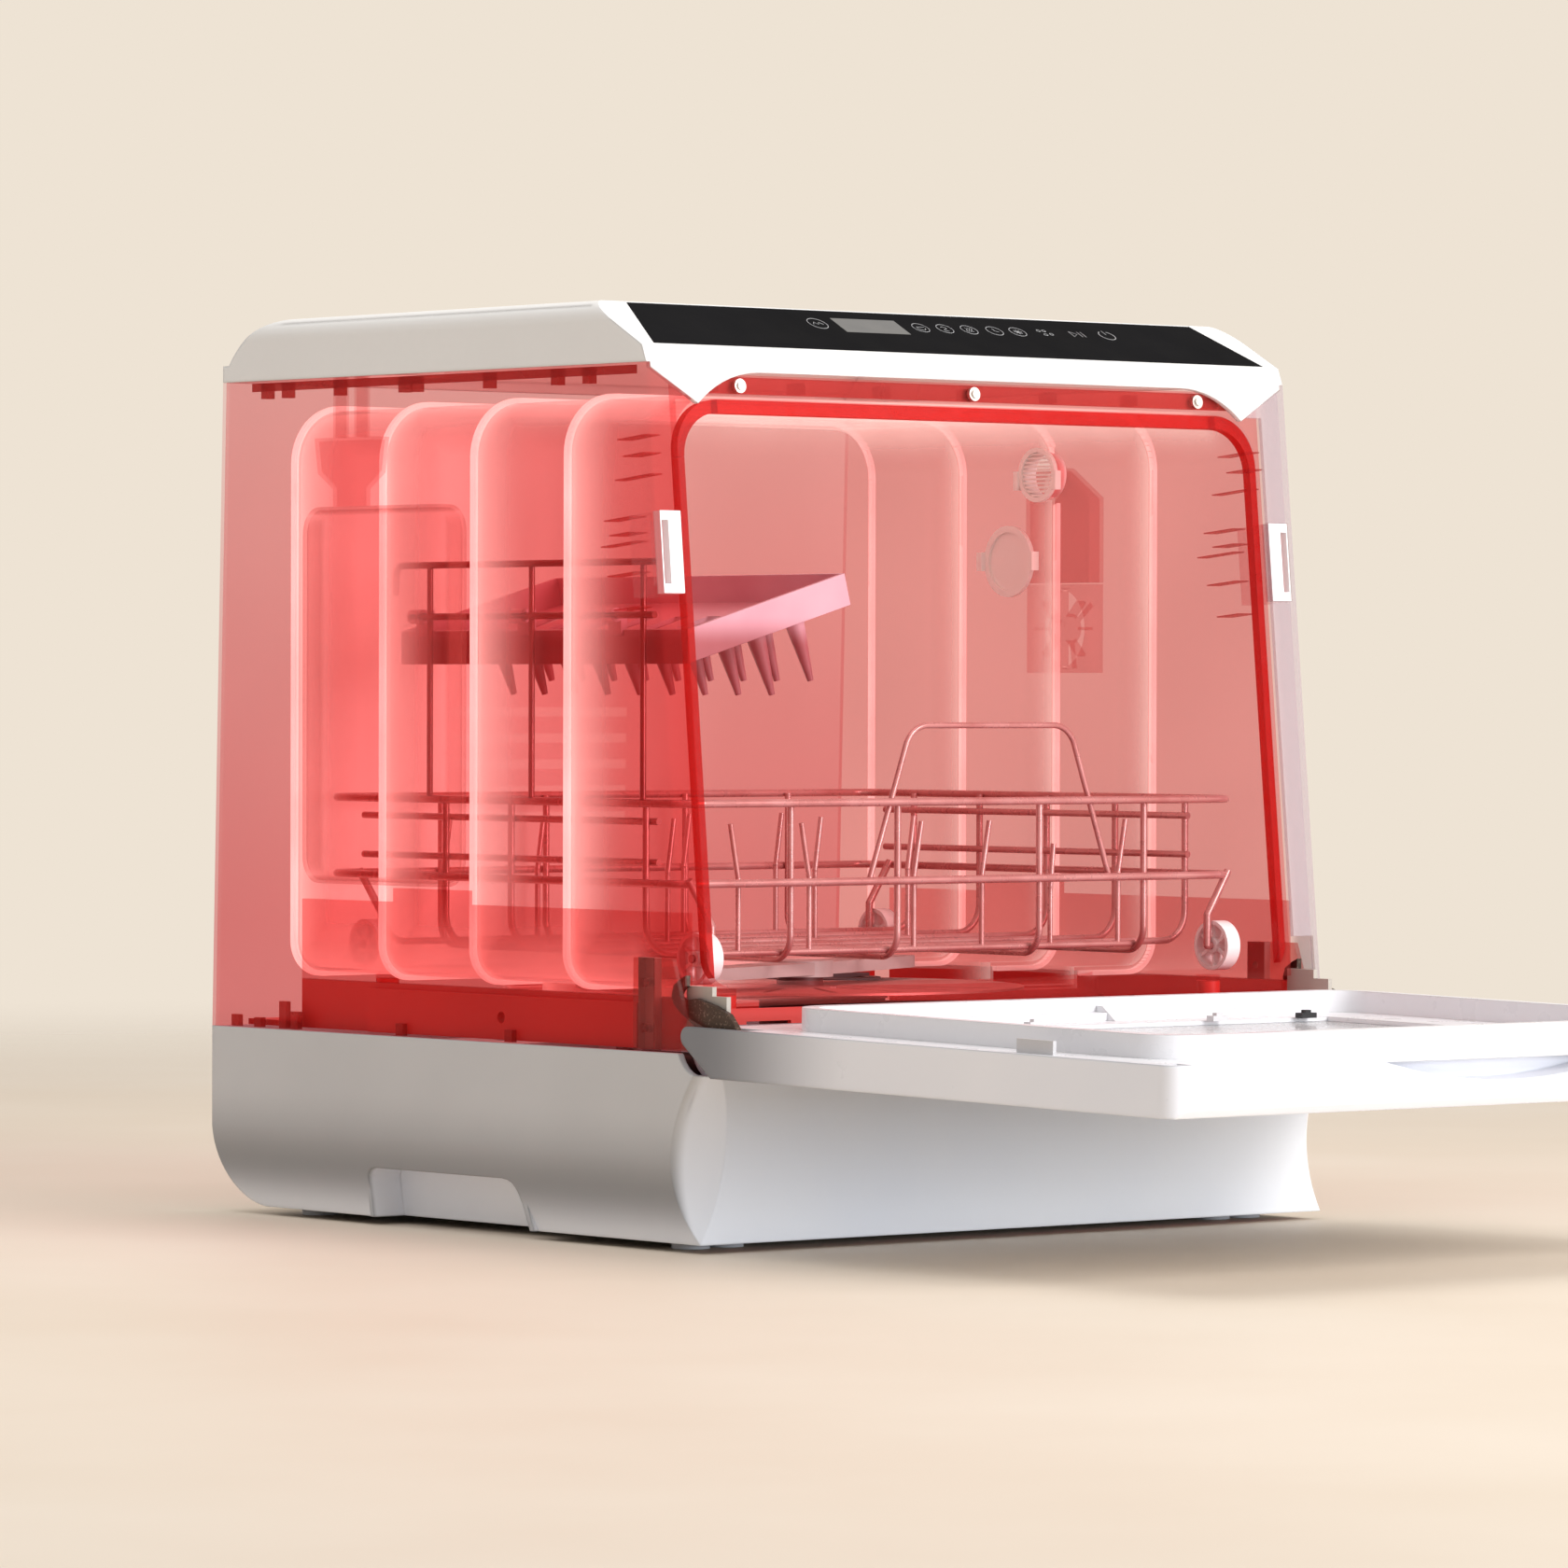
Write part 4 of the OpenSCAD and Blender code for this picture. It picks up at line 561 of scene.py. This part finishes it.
def ribbon(bm, points, up, width, height, closed=False):
    """A low raised line of width and height along points that lie on a surface with normal up."""
    n = len(points)
    top_share = 0.7
    rings = []
    for i, p in enumerate(points):
        before = points[(i - 1) % n] if closed or i else points[i]
        after = points[(i + 1) % n] if closed or i < n - 1 else points[i]
        side = (after - before).normalized().cross(up).normalized() * width / 2
        raised = side * top_share
        corners = (p - side, p - raised + up * height, p + raised + up * height, p + side)
        rings.append([bm.verts.new(c) for c in corners])
    for i in range(n if closed else n - 1):
        r, q = rings[i], rings[(i + 1) % n]
        for k in range(4):
            bm.faces.new((r[k], r[(k + 1) % 4], q[(k + 1) % 4], q[k]))
    if not closed:
        bm.faces.new(rings[0][::-1])
        bm.faces.new(rings[-1])


def plane_of(node, want):
    """The normal and the centre of a node's largest face that looks roughly along want."""
    me = frame["nodes"][node].data
    want = Vector(want).normalized()
    best = max(me.polygons, key=lambda p: p.area * (p.normal.dot(want) > 0.85))
    return best.normal.copy(), best.center.copy()


normal, point = plane_of("control_panel", (0, -0.47, 0.88))
ACROSS = Vector((1, 0, 0))
down = normal.cross(ACROSS).normalized()
down = down if down.z < 0 else -down

MM = 0.001
FULL_TURN = 360
ICON_ROW_Y = 0.03138
STROKE_WIDTH, STROKE_HEIGHT = 0.00034, 0.00006
RING_RADIUS = 0.0048
WASH_X, POWER_X, PAUSE_X, DOTS_X = -0.076, 0.1169, 0.0967, 0.075
BOWL_X, SWIRL_X, WAVES_X, CLOCK_X, STAR_X = -0.0087, 0.0073, 0.0235, 0.0405, 0.0561


def on_panel(x, y):
    """The point of the control panel's face over x and y."""
    return Vector((x, y, point.z - ((x - point.x) * normal.x + (y - point.y) * normal.y) / normal.z))


def icon_arc(centre, radius, start=0, stop=FULL_TURN, steps=28):
    """Points on the panel's face round a centre; a full turn leaves out its last point."""
    closed = stop - start == FULL_TURN
    angles = [math.radians(start + (stop - start) * i / steps) for i in range(steps + (0 if closed else 1))]
    return [centre + ACROSS * radius * math.cos(a) - down * radius * math.sin(a) for a in angles]


def icons():
    """Plain signs in a row: a wave in a ring, five programmes in rings, four dots, start and pause, power."""
    bm = bmesh.new()

    def outline(points, closed=False, wider=1.0):
        ribbon(bm, points, normal, STROKE_WIDTH * wider, STROKE_HEIGHT, closed)

    def ring(x, radius):
        outline(icon_arc(on_panel(x, ICON_ROW_Y), radius), True)

    def stroke(x, *points):
        base = on_panel(x, ICON_ROW_Y)
        outline([base + ACROSS * u * MM - down * v * MM for u, v in points])

    ring(WASH_X, 0.0056)
    stroke(WASH_X, (-3.2, -1), (-1.6, 1.4), (0, -1), (1.6, 1.4), (3.2, -1))
    for x in (BOWL_X, SWIRL_X, WAVES_X, CLOCK_X, STAR_X):
        ring(x, RING_RADIUS)
    stroke(BOWL_X, (-2.6, 0.8), (2.6, 0.8))
    outline(icon_arc(on_panel(BOWL_X, ICON_ROW_Y - 0.0001), 0.0026, 180, FULL_TURN, 14))
    swirl = ((-1.8, 1.6), (-0.4, 2.2), (1.4, 1.2), (0.8, -0.4), (-1.0, -0.8), (-1.4, -2.2), (1.0, -2.6))
    stroke(SWIRL_X, *swirl)
    for u in (-1.6, 0, 1.6):
        stroke(WAVES_X, (u, 2.4), (u + 0.7, 0.8), (u - 0.7, -0.8), (u, -2.4))
    stroke(CLOCK_X, (0, 0), (0, 2.8))
    stroke(CLOCK_X, (0, 0), (2.0, -1.2))
    star_radius = 2.7
    for angle in range(0, 180, 45):
        u = math.cos(math.radians(angle)) * star_radius
        v = math.sin(math.radians(angle)) * star_radius
        stroke(STAR_X, (-u, -v), (u, v))
    for u, v in ((-3.2, 2.4), (0.4, 2.4), (-1.4, -2.0), (3.0, -1.2)):
        dot = on_panel(DOTS_X, ICON_ROW_Y) + ACROSS * u * MM - down * v * MM
        outline(icon_arc(dot, 0.0011, steps=12), True)
    stroke(PAUSE_X, (-4.2, 3.0), (-0.4, 0), (-4.2, -3.0), (-4.2, 3.0))
    for u in (1.4, 3.8):
        stroke(PAUSE_X, (u, 3.0), (u, -3.0))
    outline(icon_arc(on_panel(POWER_X, ICON_ROW_Y), 0.0047, 118, 422), wider=1.2)
    stroke(POWER_X, (0, 5.4), (0, 0.8))
    return bm


def icon_material():
    """Pale grey print."""
    t = Tree("icon_pale")
    colour = t.blend(t.spread(t.noise(90, 2), 0, 1), lin("#A8A8AA"), lin("#C0C0C2"))
    r = t.spread(t.noise(200, 2), 0.4, 0.5)
    return t.finish(t.shader(colour, r, t.bump(t.noise(900, 2), 0.1, FINE_DEPTH)).outputs[0])


add("panel_icons", icons(), "casing", icon_material())

TILT = math.atan(32 / 332.5)
BASE_TOP = 0.096
FRONT_FOOT_Y = -0.032621
BOX_FACES = ((0, 1, 3, 2), (4, 6, 7, 5), (0, 4, 5, 1), (2, 3, 7, 6), (0, 2, 6, 4), (1, 5, 7, 3))


def on_front(x, u, v):
    """A point given by x, by u up along the slanted front from the base and by v behind that front."""
    y = FRONT_FOOT_Y + u * math.sin(TILT) + v * math.cos(TILT)
    return Vector((x, y, BASE_TOP + u * math.cos(TILT) - v * math.sin(TILT)))


def straight(x, z, y):
    """A point given by x, z and y, for pieces that stand upright."""
    return Vector((x, y, z))


def slab(bm, xs, us, vs, place=on_front):
    """A box between two values of each of the three numbers that place takes."""
    corners = [bm.verts.new(place(x, u, v)) for x in xs for u in us for v in vs]
    for face in BOX_FACES:
        bm.faces.new([corners[i] for i in face])


BLADE_HEIGHTS = (0.313, 0.33, 0.345, 0.3492, 0.357, 0.376, 0.3862, 0.395)
BLADE_HALF = 0.0003
BLADE_INNER_X, BLADE_OUTER_X = 0.1936, 0.2048
LATCH_ZONE = (0.31, 0.36)


def blades():
    """Thin level ribs between the tub and each side panel, near the front, set back behind the latches."""
    bm = bmesh.new()
    for i, z in enumerate(BLADE_HEIGHTS):
        u = (z - BASE_TOP) / math.cos(TILT)
        start = 0.027 if LATCH_ZONE[0] < z < LATCH_ZONE[1] else 0.013
        length = 0.016 + 0.006 * (i % 3)
        for side in (-1, 1):
            xs = sorted((side * BLADE_INNER_X, side * (BLADE_OUTER_X - 0.002 * (i % 3))))
            slab(bm, xs, (u - BLADE_HALF, u + BLADE_HALF), (start, start + length))
    return bm


COVER_BOTTOM = 0.4275
STRIP_HALF_LENGTH = 0.186
BOSS_COUNT, BOSS_STEP, BOSS_HALF = 7, 0.055, 0.004
RAIL_HOOKS_Y = (0.05, 0.075, 0.13, 0.19, 0.2, 0.255, 0.3, 0.318)
HOOK_LENGTH = 0.005


def flange():
    """The strip with small bosses between seal and cover, and the rail under the cover's left edge."""
    bm = bmesh.new()
    slab(bm, (-STRIP_HALF_LENGTH, STRIP_HALF_LENGTH), (0.3205, 0.3288), (0.0056, 0.0063))
    for i in range(BOSS_COUNT):
        x = BOSS_STEP * (i - (BOSS_COUNT - 1) / 2)
        slab(bm, (x - BOSS_HALF, x + BOSS_HALF), (0.3215, 0.327), (0.0064, 0.011))
    slab(bm, (-0.2062, -0.2056), (0.4232, COVER_BOTTOM), (0.012, 0.33), straight)
    for y in RAIL_HOOKS_Y:
        slab(bm, (-0.2055, -0.2005), (0.4195, COVER_BOTTOM), (y, y + HOOK_LENGTH), straight)
    return bm


POST_FOOT = 0.0962
POST_LENGTH = 0.006
POSTS = ((0.342, 0.006), (0.322, 0.005), (0.3, 0.014), (0.29, 0.009), (0.2, 0.006), (0.11, 0.006))


def posts():
    """Small clips along the base's left top edge that hold the panel."""
    bm = bmesh.new()
    for y, height in POSTS:
        slab(bm, (-0.2058, -0.2028), (POST_FOOT, POST_FOOT + height), (y, y + POST_LENGTH), straight)
    return bm


deep_red = filtered("deep_red", "#B4302A", (0.95, 0.5, 0.48), 0.5, 0.35)
blade_red = filtered("blade_red", "#C04A44", (0.95, 0.6, 0.6), 0.3, 0.3)
add("stile_blades", blades(), "casing", blade_red, False)
add("front_flange", flange(), "casing", deep_red, False)
add("panel_posts", posts(), "casing", deep_red, False)

# Lights, floor and background

BACKGROUND = lin("#EEE3D4")
SKY_COLOUR = (1.0, 0.985, 0.97, 1)
SKY_STRENGTH = 0.47


def make_world():
    """Cream where the camera, a mirror or a clear wall sees it, and a soft near-white light elsewhere."""
    world = bpy.data.worlds.new("world")
    scene.world = world
    world.use_nodes = True
    nodes, links = world.node_tree.nodes, world.node_tree.links
    nodes.clear()
    out = nodes.new("ShaderNodeOutputWorld")
    path = nodes.new("ShaderNodeLightPath")

    def background(colour, strength):
        n = nodes.new("ShaderNodeBackground")
        n.inputs["Color"].default_value = colour
        n.inputs["Strength"].default_value = strength
        return n.outputs[0]

    def larger(a, b):
        n = nodes.new("ShaderNodeMath")
        n.operation = "MAXIMUM"
        links.new(a, n.inputs[0])
        links.new(b, n.inputs[1])
        return n.outputs[0]

    seen = background(BACKGROUND, 1.0)
    lit = background(SKY_COLOUR, SKY_STRENGTH)
    through = larger(path.outputs["Is Glossy Ray"], path.outputs["Is Transmission Ray"])
    mix = nodes.new("ShaderNodeMixShader")
    links.new(larger(path.outputs["Is Camera Ray"], through), mix.inputs[0])
    links.new(lit, mix.inputs[1])
    links.new(seen, mix.inputs[2])
    links.new(mix.outputs[0], out.inputs["Surface"])


make_world()

FLOOR_RADIUS = 3.2
FLOOR_RINGS, FLOOR_SIDES = 14, 72
FLOOR_DROP = 0.0002
FADE_FROM, FADE_TO = 1.1, 3.0


def floor_mesh():
    """A disc of rings that widen outward."""
    bm = bmesh.new()
    rings = [[bm.verts.new((0, 0, 0))]]
    for i in range(1, FLOOR_RINGS + 1):
        r = FLOOR_RADIUS * (i / FLOOR_RINGS) ** 1.5
        turns = [2 * math.pi * k / FLOOR_SIDES for k in range(FLOOR_SIDES)]
        rings.append([bm.verts.new((r * math.cos(a), r * math.sin(a), 0)) for a in turns])
    for inner, outer in zip(rings, rings[1:]):
        for k in range(FLOOR_SIDES):
            k_next = (k + 1) % FLOOR_SIDES
            if len(inner) == 1:
                bm.faces.new((inner[0], outer[k], outer[k_next]))
            else:
                bm.faces.new((inner[k], outer[k], outer[k_next], inner[k_next]))
    me = bpy.data.meshes.new("floor")
    bm.to_mesh(me)
    bm.free()
    return me


def floor_material():
    """Pale and plain, fading into the background with distance."""
    t = Tree("floor_pale")
    drift = t.spread(t.noise(2.2, 4), 0, 1)
    colour = t.blend(drift, lin("#DDCDBA"), lin("#E5D8C8"))
    solid = t.shader(colour, t.span(drift, 0, 1, 0.5, 0.6), t.bump(t.noise(60, 4), 0.05, 0.0005))
    far = t.node("VectorMath", operation="LENGTH")
    t.put(far.inputs[0], t.place)
    share = t.span(far.outputs["Value"], FADE_FROM, FADE_TO, 0, 1, True)
    return t.finish(t.mixed(share, solid, t.node("BsdfTransparent")))


floor = bpy.data.objects.new("floor", floor_mesh())
scene.collection.objects.link(floor)
floor.location = (0, 0, -FLOOR_DROP)
floor.data.materials.append(floor_material())


def lamp(name, place, aim, size, power, colour=(1, 1, 1)):
    """A soft rectangular lamp at a place, turned to the point it aims at."""
    d = bpy.data.lights.new(name, "AREA")
    d.shape = "RECTANGLE"
    d.size, d.size_y = size
    d.energy = power
    d.color = colour
    o = bpy.data.objects.new(name, d)
    scene.collection.objects.link(o)
    o.location = place
    o.rotation_mode = "QUATERNION"
    o.rotation_quaternion = (Vector(aim) - Vector(place)).to_track_quat("-Z", "Y")


lamp("key", (0.9, -2.7, 1.5), (0.0, 0.0, 0.2), (1.6, 1.2), 66, (1.0, 0.99, 0.98))
lamp("low", (0.7, -3.0, 0.35), (0.1, -0.1, 0.1), (1.4, 0.5), 36, (0.88, 0.94, 1.0))
lamp("top", (-0.3, 0.3, 2.6), (0.0, 0.0, 0.2), (2.2, 2.2), 34)
